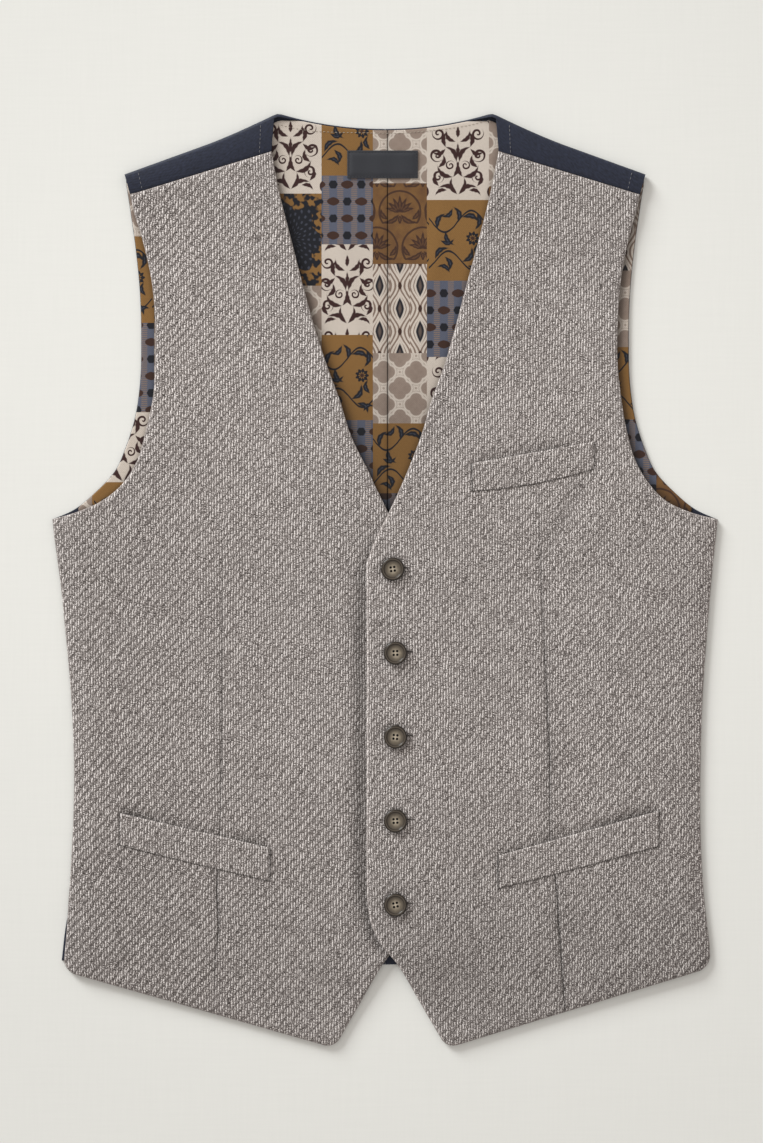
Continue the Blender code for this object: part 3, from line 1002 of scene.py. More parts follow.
@dataclass(frozen=True)
class PatchworkPrint:
    """The lining: a smooth twill with a generic patchwork of traditional small patterns."""

    slate: Colour = (0.100, 0.110, 0.155)
    taupe: Colour = (0.240, 0.170, 0.134)
    ivory: Colour = (0.640, 0.560, 0.490)
    ochre: Colour = (0.248, 0.126, 0.036)
    caramel: Colour = (0.138, 0.064, 0.026)
    umber: Colour = (0.048, 0.020, 0.013)
    maroon: Colour = (0.040, 0.013, 0.012)
    ink: Colour = (0.008, 0.009, 0.015)
    widths: tuple[float, float, float] = (40.0, 46.0, 38.0)
    pair_height: float = 118.0
    deals: float = 11.0
    start_x: float = 9.0

    def leaves(self, x: Value, y: Value, leaves: Sequence[Leaf]) -> Value:
        """How far a place lies outside the nearest of the leaves, below 0 inside."""
        return reduce(Value.least, (leaf.drawn(x, y) for leaf in leaves))

    def florets(self, recipe: Recipe, x: Value, y: Value) -> Value:
        """Round florets and lozenges by turns in rows, on slate with striped taupe bands.

        Args:
            recipe: The material's recipe.
            x: Places across.
            y: Places up.
        Returns:
            Its colour.
        """
        pitch, tall = 20.8, 12.6
        row = (y / tall).floor()
        up = y - row * tall - tall / 2
        across = x + (row % 2.0) * (pitch / 2)
        band = 1.0 - abs((across - pitch / 4).wrap(pitch / 2)).step(1.9, 2.6)
        line = (y * (2.0 * math.pi / 1.5)).sin().step(-0.6, 0.2)
        ground = recipe.mix(line * band * 0.85, self.slate, self.taupe)
        side = across.wrap(pitch)
        angle = recipe.math("ARCTAN2", up, side)
        floret = recipe.length(side, up) - 3.1 - (angle * 6.0).cos() * 0.18
        colour = recipe.mix(floret.inside(0.3), ground, self.ink)
        aside = abs((across - pitch / 2).wrap(pitch))
        lozenge = (aside / 4.6) ** 1.4 + (up / 3.1) ** 2.0 - 1.0
        return recipe.mix(lozenge.inside(0.1), colour, self.umber)

    def tiles(self, recipe: Recipe, x: Value, y: Value) -> Value:
        """Four-lobed tiles, ringed and set in two crossed rows.

        Args:
            recipe: The material's recipe.
            x: Places across.
            y: Places up.
        Returns:
            Its colour.
        """
        pitch = 24.0
        tile: Value | None = None
        for shift in (0.0, pitch / 2):
            across, up = abs((x + shift).wrap(pitch)), abs((y + shift).wrap(pitch))
            lobes = recipe.length(across - 3.7, up).least(recipe.length(across, up - 3.7)) - 4.6
            tile = lobes if tile is None else tile.least(lobes)
        ring = abs(tile - 1.55) - 0.12
        knot = recipe.length(x.wrap(pitch / 2), y.wrap(pitch / 2)) - 0.9
        shade = recipe.noise(recipe.join(x * 0.4, y), 2.2, 2.0) + 0.5
        core = recipe.mix(shade * 0.5, self.taupe, self.umber)
        core = recipe.mix((tile + 3.0).inside(2.6) * 0.35, self.ivory, core)
        colour = recipe.mix(tile.inside(0.3), self.ivory, recipe.mix(0.82, core, self.taupe))
        colour = recipe.mix(knot.inside(0.3) * tile.step(0.4, 1.0) * 0.6, colour, self.taupe)
        return recipe.mix(ring.inside(0.3) * 0.85, colour, self.taupe)

    def branches(self, recipe: Recipe, x: Value, y: Value) -> Value:
        """Curling branches with frilled leaves and round flowers on ochre.

        Args:
            recipe: The material's recipe.
            x: Places across.
            y: Places up.
        Returns:
            Its colour.
        """
        side, up = x.wrap(43.0), y.wrap(56.0)
        stem = up - 14.0 - (side * 0.16).sin() * 8.0
        other = up + 15.0 - (side * 0.17 + 1.2).cos() * 7.0
        line = abs(stem).least(abs(other)) - 0.75
        leaves = self.leaves(side, up, table(
            Leaf,
            (-15.0, 8.0, 60.0, 14.0, 2.3, 1.5), (-9.0, 7.0, -55.0, 13.0, 2.2, -1.4),
            (0.0, 13.0, 110.0, 13.0, 2.2, -1.5), (3.0, 17.0, -20.0, 14.0, 2.4, 1.5),
            (14.0, 20.0, -100.0, 13.0, 2.2, 1.4), (-17.0, -14.0, 35.0, 14.0, 2.3, 1.5),
            (-10.0, -12.0, -80.0, 12.0, 2.3, 1.5), (3.0, -16.0, 60.0, 14.0, 2.4, -1.5),
            (7.0, -19.0, -45.0, 12.0, 2.2, 1.4), (17.0, -12.0, 95.0, 11.0, 2.1, 1.5),
            (-13.0, 0.0, 10.0, 11.0, 2.0, -1.6), (-4.0, 24.0, -150.0, 11.0, 2.1, 1.6),
            (12.0, -25.0, 20.0, 9.0, 1.9, 1.5), (-6.0, -24.0, 160.0, 11.0, 2.0, -1.6),
        ))
        across, above = side - 11.0, up - 1.5
        angle = recipe.math("ARCTAN2", above, across)
        reach = recipe.length(across, above)
        flower = abs(reach - 3.3) - 1.2 - (angle * 9.0).cos() * 0.7
        colour = recipe.mix((line * 0.8).inside(0.25), self.ochre, self.ink)
        colour = recipe.mix(leaves.inside(0.2), colour, self.ink)
        colour = recipe.mix((leaves + 0.72).inside(0.2) * 0.55, colour, self.slate)
        colour = recipe.mix(flower.inside(0.3), colour, self.ink)
        return recipe.mix((reach - 1.4).inside(0.3), colour, self.umber)

    def ogees(self, recipe: Recipe, x: Value, y: Value) -> Value:
        """Ogee bands round pointed dark drops.

        Args:
            recipe: The material's recipe.
            x: Places across.
            y: Places up.
        Returns:
            Its colour.
        """
        pitch, tall = 15.0, 34.0
        column = (x / pitch).sum("ROUND")
        across = abs(x - column * pitch)
        lift = y + (column % 2.0) * (tall / 2)
        belly = (lift * (2.0 * math.pi / tall)).cos() * 3.6 + 3.9
        edge = across - belly
        bands = (edge * (2.0 * math.pi / 3.1)).cos().step(-0.1, 0.4)
        colour = recipe.mix(bands, self.ivory, self.taupe)
        up = abs(lift.wrap(tall))
        drop = across / 3.0 + (up / 8.2) ** 1.5 - 1.0
        halo = across / 4.4 + (up / 11.0) ** 1.5 - 1.0
        colour = recipe.mix(halo.inside(0.1), colour, self.ivory)
        colour = recipe.mix(drop.inside(0.15), colour, self.ink)
        colour = recipe.mix((drop + 0.6).inside(0.3) * 0.5, colour, self.taupe)
        knot = recipe.length(across / 1.5, (up - tall / 2) / 2.6) - 1.0
        return recipe.mix(knot.inside(0.2), colour, self.umber)

    def scrolls(self, recipe: Recipe, x: Value, y: Value) -> Value:
        """Mirrored sprays of maroon leaves and coils on ivory.

        Args:
            recipe: The material's recipe.
            x: Places across.
            y: Places up.
        Returns:
            Its colour.
        """
        pitch, tall = 42.0, 54.0
        column = (x / pitch).sum("ROUND")
        side = abs(x - column * pitch)
        up = (y + (column % 2.0) * (tall / 2)).wrap(tall)
        spray = self.leaves(side, up, table(
            Leaf,
            (0.2, -25.0, 74.0, 14.0, 1.9, -1.6), (0.8, -24.0, 14.0, 15.0, 2.1, 1.6),
            (14.0, -19.0, 84.0, 11.0, 1.9, -1.5), (3.6, -12.0, 38.0, 15.0, 2.2, -1.5),
            (3.6, -12.0, 100.0, 13.0, 1.9, 1.3), (15.0, -5.0, 110.0, 11.0, 2.0, 1.5),
            (1.0, -1.0, 50.0, 15.0, 2.1, 1.6), (9.0, 9.0, -10.0, 11.0, 1.9, -1.6),
            (0.0, 2.0, 90.0, 12.0, 2.2, 0.2), (9.0, 10.0, 98.0, 12.0, 2.0, -1.3),
            (1.4, 14.0, 52.0, 12.0, 1.9, -1.5), (0.0, 17.0, 90.0, 9.0, 1.7, 0.0),
            (8.0, -22.0, -25.0, 10.0, 1.7, 1.3),
        ))
        for curl in table(
            Curl,
            (14.5, -12.0, 4.4, 0.3, 1.0), (15.5, 4.0, 5.0, 0.1, -1.0),
            (5.6, -3.4, 3.4, 0.6, 1.0), (14.6, 20.0, 4.6, 0.9, 1.0),
        ):
            spray = spray.least(curl.drawn(recipe, side, up))
        return recipe.mix(spray.inside(0.2), self.ivory, self.maroon)

    def palmettes(self, recipe: Recipe, x: Value, y: Value) -> Value:
        """Fan-shaped palmettes over curled leaves, umber on caramel.

        Args:
            recipe: The material's recipe.
            x: Places across.
            y: Places up.
        Returns:
            Its colour.
        """
        pitch, tall = 34.0, 27.0
        row = (y / tall).floor()
        side = abs((x + (row % 2.0) * (pitch / 2)).wrap(pitch))
        up = y - row * tall - 8.0
        fan = self.leaves(side, up, table(
            Leaf,
            (0.0, 0.0, 90.0, 14.0, 1.9, 0.0), (0.3, 0.0, 66.0, 13.0, 1.8, 0.25),
            (0.6, 0.0, 42.0, 12.0, 1.8, 0.35), (0.9, 0.0, 18.0, 11.0, 1.7, 0.5),
            (0.5, -1.0, -22.0, 15.0, 2.2, -1.3), (9.0, -5.0, 60.0, 10.0, 2.0, -0.8),
            (0.0, -2.0, -90.0, 7.0, 1.8, 0.0),
        ))
        hoop = abs(recipe.length(side, up - 1.0) - 15.2) - 0.7
        tone = recipe.noise(recipe.join(x, y), 7.0, 1.0) * 1.2 + 0.35
        colour = recipe.mix(tone, self.caramel, self.ochre)
        colour = recipe.mix(fan.inside(0.2), colour, self.umber)
        colour = recipe.mix((fan + 0.55).inside(0.2) * 0.7, colour, self.caramel)
        return recipe.mix(hoop.inside(0.3) * 0.9, colour, self.umber)

    def rosette(self, recipe: Recipe, x: Value, y: Value) -> Value:
        """A dark rosette of many petals on near black, with ochre at its corners.

        Args:
            recipe: The material's recipe.
            x: Places across.
            y: Places up.
        Returns:
            Its colour.
        """
        up = y * 0.82
        reach = recipe.length(x, up)
        angle = recipe.math("ARCTAN2", up, x)
        petal = (angle * 7.0).cos()
        lines = (reach / 4.2 + petal * 0.30).fract()
        lace = (abs(lines - 0.5) - 0.20).inside(0.08)
        rays = (angle * 28.0).cos().step(0.1, 0.7) * lace
        colour = recipe.mix(rays * 0.45, self.ink, self.slate)
        outside = reach - 20.5 - petal * 2.5
        spots = recipe.noise(recipe.join(x, y), 5.0, 1.0).step(-0.05, 0.05)
        corner = recipe.mix(spots, self.ochre, self.ink)
        return recipe.mix(outside.inside(0.4), corner, colour)

    def build(self) -> Material:
        """Writes the material.

        Returns:
            The material.
        """
        recipe = Recipe("lining")
        x, y = recipe.grain()
        place = recipe.join(x, y)
        cycle = ((x + self.start_x) / sum(self.widths)).floor()
        across = x + self.start_x - cycle * sum(self.widths)
        second = across.sum("GREATER_THAN", self.widths[0])
        third = across.sum("GREATER_THAN", self.widths[0] + self.widths[1])
        column = cycle * 3.0 + second + third
        middle = second * ((self.widths[0] + self.widths[1]) / 2.0)
        middle = middle + third * ((self.widths[1] + self.widths[2]) / 2.0)
        lift = y + recipe.chance(column, 5.0) * self.pair_height
        pair = (lift / self.pair_height).floor()
        up = lift - pair * self.pair_height
        split = recipe.chance(column, pair) * 20.0 + 49.0
        upper = (up - split).sum("GREATER_THAN", 0.0)
        kind = (column * 4.0 + (pair * 2.0 + upper) * 3.0 + 1.0) % self.deals
        patch_x = across - middle - self.widths[0] / 2.0
        patch_y = up - split * 0.5 - upper * (self.pair_height / 2.0)
        patch_x = patch_x + recipe.noise(place, 5.0, 1.0) * 0.6
        patch_y = patch_y + recipe.noise(recipe.join(x, y, 3.0), 5.0, 1.0) * 0.6
        painters = {
            Print.FLORETS: self.florets, Print.TILES: self.tiles, Print.BRANCHES: self.branches,
            Print.OGEES: self.ogees, Print.SCROLLS: self.scrolls,
            Print.PALMETTES: self.palmettes, Print.ROSETTE: self.rosette,
        }
        colour: Value | None = None
        for motif, painter in painters.items():
            painted = painter(recipe, patch_x, patch_y)
            if colour is None:
                colour = painted
                continue
            turns = (kind.sum("COMPARE", float(turn), 0.25) for turn in motif.value)
            colour = recipe.mix(reduce(Value.__add__, turns), colour, painted)
        rib = (x * 0.9 + y).wave(1.3)
        fade = recipe.noise(place, 30.0) * 0.12 + recipe.noise(place, 1.2) * 0.30
        # Painted shade, beside the fronts and along the seam, darkens the print.
        colour = recipe.shade(colour, (rib * 0.22 + fade + 0.80) * (1.0 - recipe.mark("painted_shade")))
        return recipe.finish(
            colour, 0.50 + fade * 0.4, rib, deep=0.00006, strength=0.4,
            Specular_IOR_Level=0.28, Sheen_Weight=0.05, Sheen_Roughness=0.4,
        )


@dataclass(frozen=True)
class DamaskLabel:
    """The bare neck label's dense dark satin."""

    dark: Colour = (0.012, 0.013, 0.018)
    light: Colour = (0.030, 0.032, 0.042)

    def build(self) -> Material:
        """Writes the material.

        Returns:
            The material.
        """
        recipe = Recipe("label")
        x, y = recipe.grain()
        weft = y.wave(0.36)
        warp = (x * (2.0 * math.pi / 0.30) + y * 4.0).sin() * 0.5 + 0.5
        slub = recipe.noise(recipe.join(x * 0.5, y * 3.0), 1.1, 2.0)
        tone = weft * 0.5 + warp * 0.2 + slub * 0.5 + 0.1
        colour = recipe.ramp(tone, (0.0, self.dark), (1.0, self.light))
        return recipe.finish(
            colour, 0.55, weft * 0.7 + warp * 0.3, deep=0.0001, strength=0.5,
            Specular_IOR_Level=0.4, Sheen_Weight=0.2,
        )


@dataclass(frozen=True)
class HornResin:
    """The buttons' mottled horn-like resin, dark at the rim and pale in the dish."""

    pale: Colour = (0.440, 0.374, 0.286)
    middle: Colour = (0.148, 0.120, 0.087)
    slope: Colour = (0.082, 0.065, 0.048)
    painted_groove_shade: Colour = (0.022, 0.016, 0.011)
    ring: Colour = (0.098, 0.077, 0.058)
    rim: Colour = (0.017, 0.0115, 0.0070)

    def build(self) -> Material:
        """Writes the material.

        Returns:
            The material.
        """
        recipe = Recipe("button_resin")
        place = recipe.place()
        mottle = recipe.noise(place, 0.0042, 3.0, 0.6)
        streak = recipe.noise(recipe.vector("MULTIPLY", place, (3.0, 0.7, 1.0)), 0.0021, 3.0)
        reach = recipe.mark("reach")
        tone = reach + (mottle * 0.34 + streak * 0.16) * (1.0 - reach.step(0.45, 0.72) * 0.85)
        # The groove stop is painted shade at the foot of the rim's inner wall, and the ring stop a
        # painted highlight on the rim's crest.
        colour = recipe.ramp(
            tone, (0.08, self.pale), (0.48, self.middle), (0.68, self.slope),
            (0.755, self.painted_groove_shade), (0.83, self.ring), (0.91, self.rim), (1.0, self.rim),
        )
        return recipe.finish(
            colour, 0.34 + mottle * 0.12, streak, deep=0.00005, strength=0.3,
            Specular_IOR_Level=0.36, Coat_Weight=0.12, Coat_Roughness=0.25,
        )


@dataclass(frozen=True)
class SewingThread:
    """Twisted sewing thread of one colour."""

    name: str
    colour: Colour

    def build(self) -> Material:
        """Writes the material.

        Returns:
            The material.
        """
        recipe = Recipe(self.name)
        place = recipe.place()
        fibre = recipe.noise(recipe.vector("MULTIPLY", place, (1.0, 1.0, 2.0)), 0.0004, 2.0)
        low = tuple(c * 0.72 for c in self.colour)
        high = tuple(min(c * 1.25, 1.0) for c in self.colour)
        colour = recipe.ramp(fibre + 0.5, (0.25, low), (0.75, high))
        return recipe.finish(
            colour, 0.6, fibre, deep=0.00008, strength=0.5, Specular_IOR_Level=0.35
        )


@dataclass(frozen=True)
class PaleLinen:
    """The surface that the garment lies on: a pale backdrop with a faint grain and painted light
    falloff.
    """

    low: Colour = (0.770, 0.765, 0.735)
    high: Colour = (0.825, 0.818, 0.785)

    def build(self) -> Material:
        """Writes the material.

        Returns:
            The material.
        """
        recipe = Recipe("floor")
        place = recipe.place()
        across = recipe.noise(recipe.vector("MULTIPLY", place, (1.0, 24.0, 1.0)), 0.045, 2.0)
        along = recipe.noise(recipe.vector("MULTIPLY", place, (24.0, 1.0, 1.0)), 0.045, 2.0)
        tone = across * 0.5 + along * 0.5 + 0.5
        colour = recipe.ramp(tone, (0.0, self.low), (1.0, self.high))
        # Painted light falloff: the backdrop is darker away from a point 70 mm above its middle.
        inward = recipe.vector("SUBTRACT", place, (0.0, 0.07, 0.0))
        away = recipe.vector("LENGTH", inward).out("Value").step(0.15, 0.56)
        colour = recipe.shade(colour, 1.06 - away * 0.08)
        return recipe.finish(
            colour, 0.9, tone, deep=0.0002, strength=0.15, Specular_IOR_Level=0.15
        )


@dataclass
class Finishes:
    """Every material of the garment, built once."""

    twill: Material = field(default_factory=MarledTwill().build)
    back: Material = field(default_factory=PlainTwill().build)
    lining: Material = field(default_factory=PatchworkPrint().build)
    label: Material = field(default_factory=DamaskLabel().build)
    resin: Material = field(default_factory=HornResin().build)
    pale_thread: Material = field(
        default_factory=SewingThread("pale_thread", (0.26, 0.25, 0.25)).build
    )
    cream_thread: Material = field(
        default_factory=SewingThread("cream_thread", (0.46, 0.40, 0.33)).build
    )
    dark_thread: Material = field(
        default_factory=SewingThread("dark_thread", (0.020, 0.020, 0.026)).build
    )
    hole_thread: Material = field(
        default_factory=SewingThread("buttonhole_thread", (0.060, 0.050, 0.046)).build
    )
    floor: Material = field(default_factory=PaleLinen().build)


# ---- the garment


@dataclass
class Welt:
    """A welt pocket: the strip sewn over its mouth, and the dip of the cloth above it."""

    name: str
    node: str
    side: Side
    inner_low: tuple[float, float]
    inner_high: tuple[float, float]
    outer_low: tuple[float, float]
    outer_high: tuple[float, float]
    sag: float
    gape: tuple[float, ...]
    area: float
    flat: tuple[float, float]

    def frame_of(self, x: Array, y: Array) -> tuple[Array, Array]:
        """Where places lie on the welt.

        Args:
            x: Places across, in the garment's own frame.
            y: Places up.
        Returns:
            The share along the welt from its inner end, and the height over its upper edge.
        """
        out = x * self.side.value
        share = (out - self.inner_high[0]) / (self.outer_high[0] - self.inner_high[0])
        edge = self.inner_high[1] + (self.outer_high[1] - self.inner_high[1]) * share
        return share, y - edge

    def dip(self, x: Array, y: Array) -> Array:
        """How far the front sinks at the pocket's mouth, where the gape is 1.

        Args:
            x: Places across.
            y: Places up.
        Returns:
            Shares of the depth.
        """
        share, over = self.frame_of(x, y)
        along = np.interp(share, np.linspace(0.0, 1.0, len(self.gape)), self.gape)
        ends = ease(share, -0.03, 0.06) * ease(share, 1.03, 0.94)
        above = bell(np.maximum(over, 0.0), 5.5)
        below = bell(np.minimum(over, 0.0), 6.0)
        return along * ends * above * below

    def painted_shadow_ring(self, x: Array, y: Array) -> Array:
        """The thin painted shadow round the strip, on its front, which is 1 along its edge."""
        ring = (self.inner_low, self.outer_low, self.outer_high, self.inner_high, self.inner_low)
        return bell(from_line(x, y, np.array(ring) * (self.side.value, 1.0))[0], 1.0)

    def build(self, front: "FrontPanel", material: Material) -> Object:
        """Builds the strip on the face of its front.

        Args:
            front: The front that carries it.
            material: The fronts' twill.
        Returns:
            The finished object.
        """
        length = math.dist(self.inner_low, self.outer_low)
        across = edge_spaced(length, 2.0)
        up = edge_spaced(math.dist(self.inner_low, self.inner_high), 1.6)
        u, v = np.meshgrid(across, up)
        low, high = (
            np.array(inner) + (np.array(outer) - np.array(inner)) * u[..., None]
            for inner, outer in (
                (self.inner_low, self.outer_low), (self.inner_high, self.outer_high)
            )
        )
        plan = low + (high - low) * v[..., None]
        plan[..., 1] -= self.sag * 4.0 * u * (1.0 - u) * (1.0 - v)
        plan[..., 0] *= self.side.value
        tall = np.hypot(*(high - low)[0, 0])
        from_low, from_high = v * tall, (1.0 - v) * tall
        from_end = np.minimum(u, 1.0 - u) * length
        seam = round_edge(np.minimum(from_low, from_end), 1.3, 0.0)
        brow = round_edge(from_high, 1.5, 0.0)
        x, y = plan[..., 0], plan[..., 1]
        face = front.face(x, y, with_dips=False)
        rise = (0.50 + 0.75 * v**1.5 + 0.10 * np.sin(u * 9.0)) * seam * brow + 0.20
        under = face - 0.35 * seam
        # Painted light line along the upper edge, painted light and shade that darken down the
        # garment, and painted shade along the lower seam and the ends.
        marks = {
            "twill": np.full(u.shape, 0.40),
            "even": np.full(u.shape, 0.5),
            "rim": 0.45 * bell(from_high, 0.8),
            "painted_light_and_shade": 1.0 + 0.05 * ease(y, 0.0, 190.0) - 0.10 * ease(y, -120.0, -300.0),
            "painted_shade": np.maximum(
                0.72 * bell(np.minimum(from_low, from_end), 0.65),
                0.88 * bell(u * length, 0.95),
            ),
        }
        shift = (front.side.value * 3.1, 41.3)
        shell = Shell(self.name, plan, under, face + rise, material, marks, shift)
        obj = shell.build()
        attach(obj, "root")
        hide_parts(self.node)
        return obj


def edge_spaced(
    length: float, spacing: float, insets: Sequence[float] = (0.25, 0.6, 1.1, 1.8)
) -> Array:
    """Shares of a length with closer steps near both ends.

    Args:
        length: The length.
        spacing: The step between.
        insets: Distances from each end at which there is a step too.
    Returns:
        Shares from 0 to 1.
    """
    near = np.concatenate([[0.0], insets])
    count = max(2, round((length - 2 * near[-1]) / spacing))
    middle = np.linspace(near[-1], length - near[-1], count + 1)[1:-1]
    return np.concatenate([near, middle, length - near[::-1]]) / length


@dataclass
class FrontPanel:
    """One front of the waistcoat, from the hem to the seam in front of the shoulder."""

    name: str
    node: str
    side: Side
    skirt: Sequence[Section]
    chest: Sequence[Section]
    dart: Sequence[tuple[float, float]]
    dart_depths: Sequence[float]
    creases: Sequence[Sequence[Bend]]
    painted_shades: Sequence[Sequence[Bend]]
    swells: Sequence[Swell]
    welts: Sequence[Welt]
    buttons: Sequence[tuple[float, float]]
    flat: tuple[float, float]
    area: float
    grain_shift: tuple[float, float]
    spacing: float = 2.3
    half_width: float = 122.0
    button_dip: float = 0.55
    button_painted_shadow: float = 0.24
    pocket_dip: float = 1.5
    pocket_painted_shade: float = 0.32
    welt_painted_shadow: float = 0.20

    def dart_x(self, y: Array) -> Array:
        """How far out the dart lies at each height."""
        line = np.array(self.dart[::-1], float)
        return np.interp(y, line[:, 1], line[:, 0])

    def columns(self) -> Array:
        """Shares across, with closer columns at both edges and along the dart in the middle.

        Returns:
            Shares from 0 to 1, with the dart at 0.5.
        """
        half = self.half_width
        edge = np.array([0.0, 0.22, 0.55, 1.0, 1.7, 2.8])
        seam = np.array([0.0, 0.35, 0.8, 1.5, 2.6])
        count = round((half - edge[-1] - seam[-1]) / self.spacing) + 1
        between = np.linspace(edge[-1], half - seam[-1], count)
        lower = np.concatenate([edge, between[1:-1], half - seam[::-1]]) / (2 * half)
        return np.concatenate([lower, 1.0 - lower[-2::-1]])

    def plan(self) -> tuple[Array, Array, Array]:
        """Lays out the grid.

        Returns:
            Places as rows by columns by 2 in the table's frame, and the distances along each
            row from the inner and the outer edge.
        """
        rows = panel_rows(self.skirt, self.chest, self.spacing)
        for at_top in (False, True):
            rows = with_edge_rows(rows, (0.25, 0.6, 1.2), at_top)
        shares = self.columns()
        inner, outer = rows[:, None, :2], rows[:, None, 2:]
        middle = np.full(len(rows), 0.5)
        for _ in range(4):
            y = rows[:, 1] + (rows[:, 3] - rows[:, 1]) * middle
            middle = (self.dart_x(y) - rows[:, 0]) / (rows[:, 2] - rows[:, 0])
        free = ease(rows[:, 1], 20.0, 110.0)
        middle = (middle * (1 - free) + 0.5 * free)[:, None]
        u = np.where(
            shares < 0.5, shares * 2 * middle, middle + (shares - 0.5) * 2 * (1 - middle)
        )
        place = inner + (outer - inner) * u[..., None]
        hem_inner, hem_outer = rows[0, :2], rows[0, 2:]
        along = unit(hem_outer - hem_inner)
        up_inner, up_outer = unit(rows[6, :2] - hem_inner), unit(rows[6, 2:] - hem_outer)
        place = rounded(place, hem_inner, along, up_inner, HEM_POINT_RADIUS)
        place = rounded(place, hem_outer, -along, up_outer, HEM_SIDE_RADIUS)
        width = np.hypot(*(outer - inner)[:, 0].T)[:, None]
        return place, u * width, (1.0 - u) * width

    def base(self, x: Array, y: Array, from_inner: Array, from_outer: Array) -> Array:
        """Height of the underside, as the solid has it.

        Args:
            x: Places outwards.
            y: Places up.
            from_inner: Distances from the inner edge.
            from_outer: Distances from the outer edge.
        Returns:
            Heights.
        """
        neckline = ease(y, 84.0, 128.0) * (1.0 - ease(y, 268.0, 308.0))
        height = FRONT_BASE + NECKLINE_LIFT * neckline * (1.0 - ease(from_inner, 0.0, 26.0))
        if self.side is Side.LEFT:
            lap = (1.0 - ease(x, LAP_FULL, LAP_END)) * (1.0 - ease(y, LAP_TOP, LAP_TOP_END))
            height += (LAP_BASE - FRONT_BASE) * lap * ease(y, LAP_FOOT_END, LAP_FOOT)
        height += (HEM_POINT_BASE - height) * (1.0 - ease(y, HEM_DROP_TO, HEM_DROP_FROM))
        at_side = 1.0 - ease(from_outer, 0.0, SIDE_ROLL)
        at_arm = 1.0 - ease(np.hypot(x - UNDERARM_X, y - UNDERARM_Y), 3.0, UNDERARM_REACH)
        down = np.where(y < UNDERARM_Y, at_side, at_arm)
        return height + (SIDE_BASE - height) * down

    def by_dart(self, x: Array, y: Array) -> tuple[Array, Array]:
        """Distances from the dart, and its depth at the nearest place on it."""
        line = np.array(self.dart, float) * (self.side.value, 1.0)
        return beside(x, y, line, np.array(self.dart_depths))

    def relief(self, x: Array, y: Array, with_dips: bool = True) -> Array:
        """What creases, darts, buttons and pockets add to the heights.

        Args:
            x: Places across, in the garment's frame.
            y: Places up.
            with_dips: True to sink the cloth at the pockets' mouths.
        Returns:
            Heights to add.
        """
        far, depth = self.by_dart(x, y)
        rise = -depth * (0.75 * bell(far, 0.75) + 0.30 * bell(far, 5.5))
        rise += creased(x, y, self.creases) + swelled(x, y, self.swells)
        for button_x, button_y in self.buttons:
            away = np.hypot((x - button_x) * 0.8, y - button_y)
            rise -= self.button_dip * bell(away, 8.5)
        if with_dips:
            for welt in self.welts:
                rise -= self.pocket_dip * welt.dip(x, y)
        return rise

    def painted_shade(self, x: Array, y: Array) -> Array:
        """Painted shade: how much darker the cloth is painted in its seams, folds and pockets, and
        round its buttons, from 0 to 1.

        Args:
            x: Places across.
            y: Places up.
        Returns:
            Shares taken off its tone.
        """
        far, depth = self.by_dart(x, y)
        # Painted shade in the dart's seam.
        total = np.minimum(depth, 1.0) * (0.62 * bell(far, 0.65) + 0.10 * bell(far, 4.0))
        # Painted shade along the lap and the creases.
        total += creased(x, y, self.painted_shades)
        # Painted contact shadow round each button.
        for button_x, button_y in self.buttons:
            away = np.hypot(x - button_x, y - button_y)
            total += self.button_painted_shadow * bell(away - 8.2, 2.0)
        # Painted shade in each pocket's mouth, and a painted shadow round its strip.
        for welt in self.welts:
            total += self.pocket_painted_shade * welt.dip(x, y) + self.welt_painted_shadow * welt.painted_shadow_ring(x, y)
        return np.clip(total, 0.0, 0.85)

    def weave(self, x: Array, y: Array) -> tuple[Array, Array]:
        """How the twill shows at places of the garment, which the pressing has left uneven.

        Args:
            x: Places across.
            y: Places up.
        Returns:
            How plain its slanting lines are, and how straight its columns run, from 0 to 1.
        """
        if self.side is Side.RIGHT:
            outwards = ease(-x, 60.0, 200.0)
            lines = 0.35 + 0.16 * outwards + 0.14 * ease(y, -60.0, -200.0)
            lines += 0.10 * ease(y, 120.0, 240.0)
            return lines, 0.78 - 0.42 * outwards - 0.10 * ease(y, -180.0, -240.0)
        outwards = ease(x, 60.0, 150.0)
        lines = 0.29 + 0.04 * outwards * ease(y, 70.0, -70.0) + 0.08 * ease(y, -20.0, -120.0)
        straight = 0.70 - 0.25 * ease(y, -60.0, -200.0)
        return lines, straight * (1.0 - 0.7 * ease(x, 90.0, 135.0) * ease(y, 160.0, 40.0))

    def face(self, x: Array, y: Array, with_dips: bool = True) -> Array:
        """Height of the panel's upper face well inside its edges."""
        base = self.base(x * self.side.value, y, np.full(x.shape, 60.0), np.full(x.shape, 60.0))
        return base + FRONT_WALL + self.relief(x, y, with_dips)

    def build(self, material: Material) -> Object:
        """Builds the panel.

        Args:
            material: The fronts' twill.
        Returns:
            The finished object.
        """
        place, from_inner, from_outer = self.plan()
        base = self.base(place[..., 0], place[..., 1], from_inner, from_outer)
        plan = place * (self.side.value, 1.0)
        x, y = plan[..., 0], plan[..., 1]
        edge, _, _ = from_line(x, y, outline(plan))
        relief = self.relief(x, y) * ease(edge, 0.0, 9.0)
        roll = 0.22 * bell(edge - 4.5, 2.6)
        middle = base + FRONT_WALL / 2.0
        half = FRONT_WALL / 2.0 * round_edge(edge, 2.2)
        over = middle + half + relief + roll
        under = middle - half + np.maximum(relief, -0.6)
        under = np.minimum(under, over - 0.3)
        twill, even = self.weave(x, y)
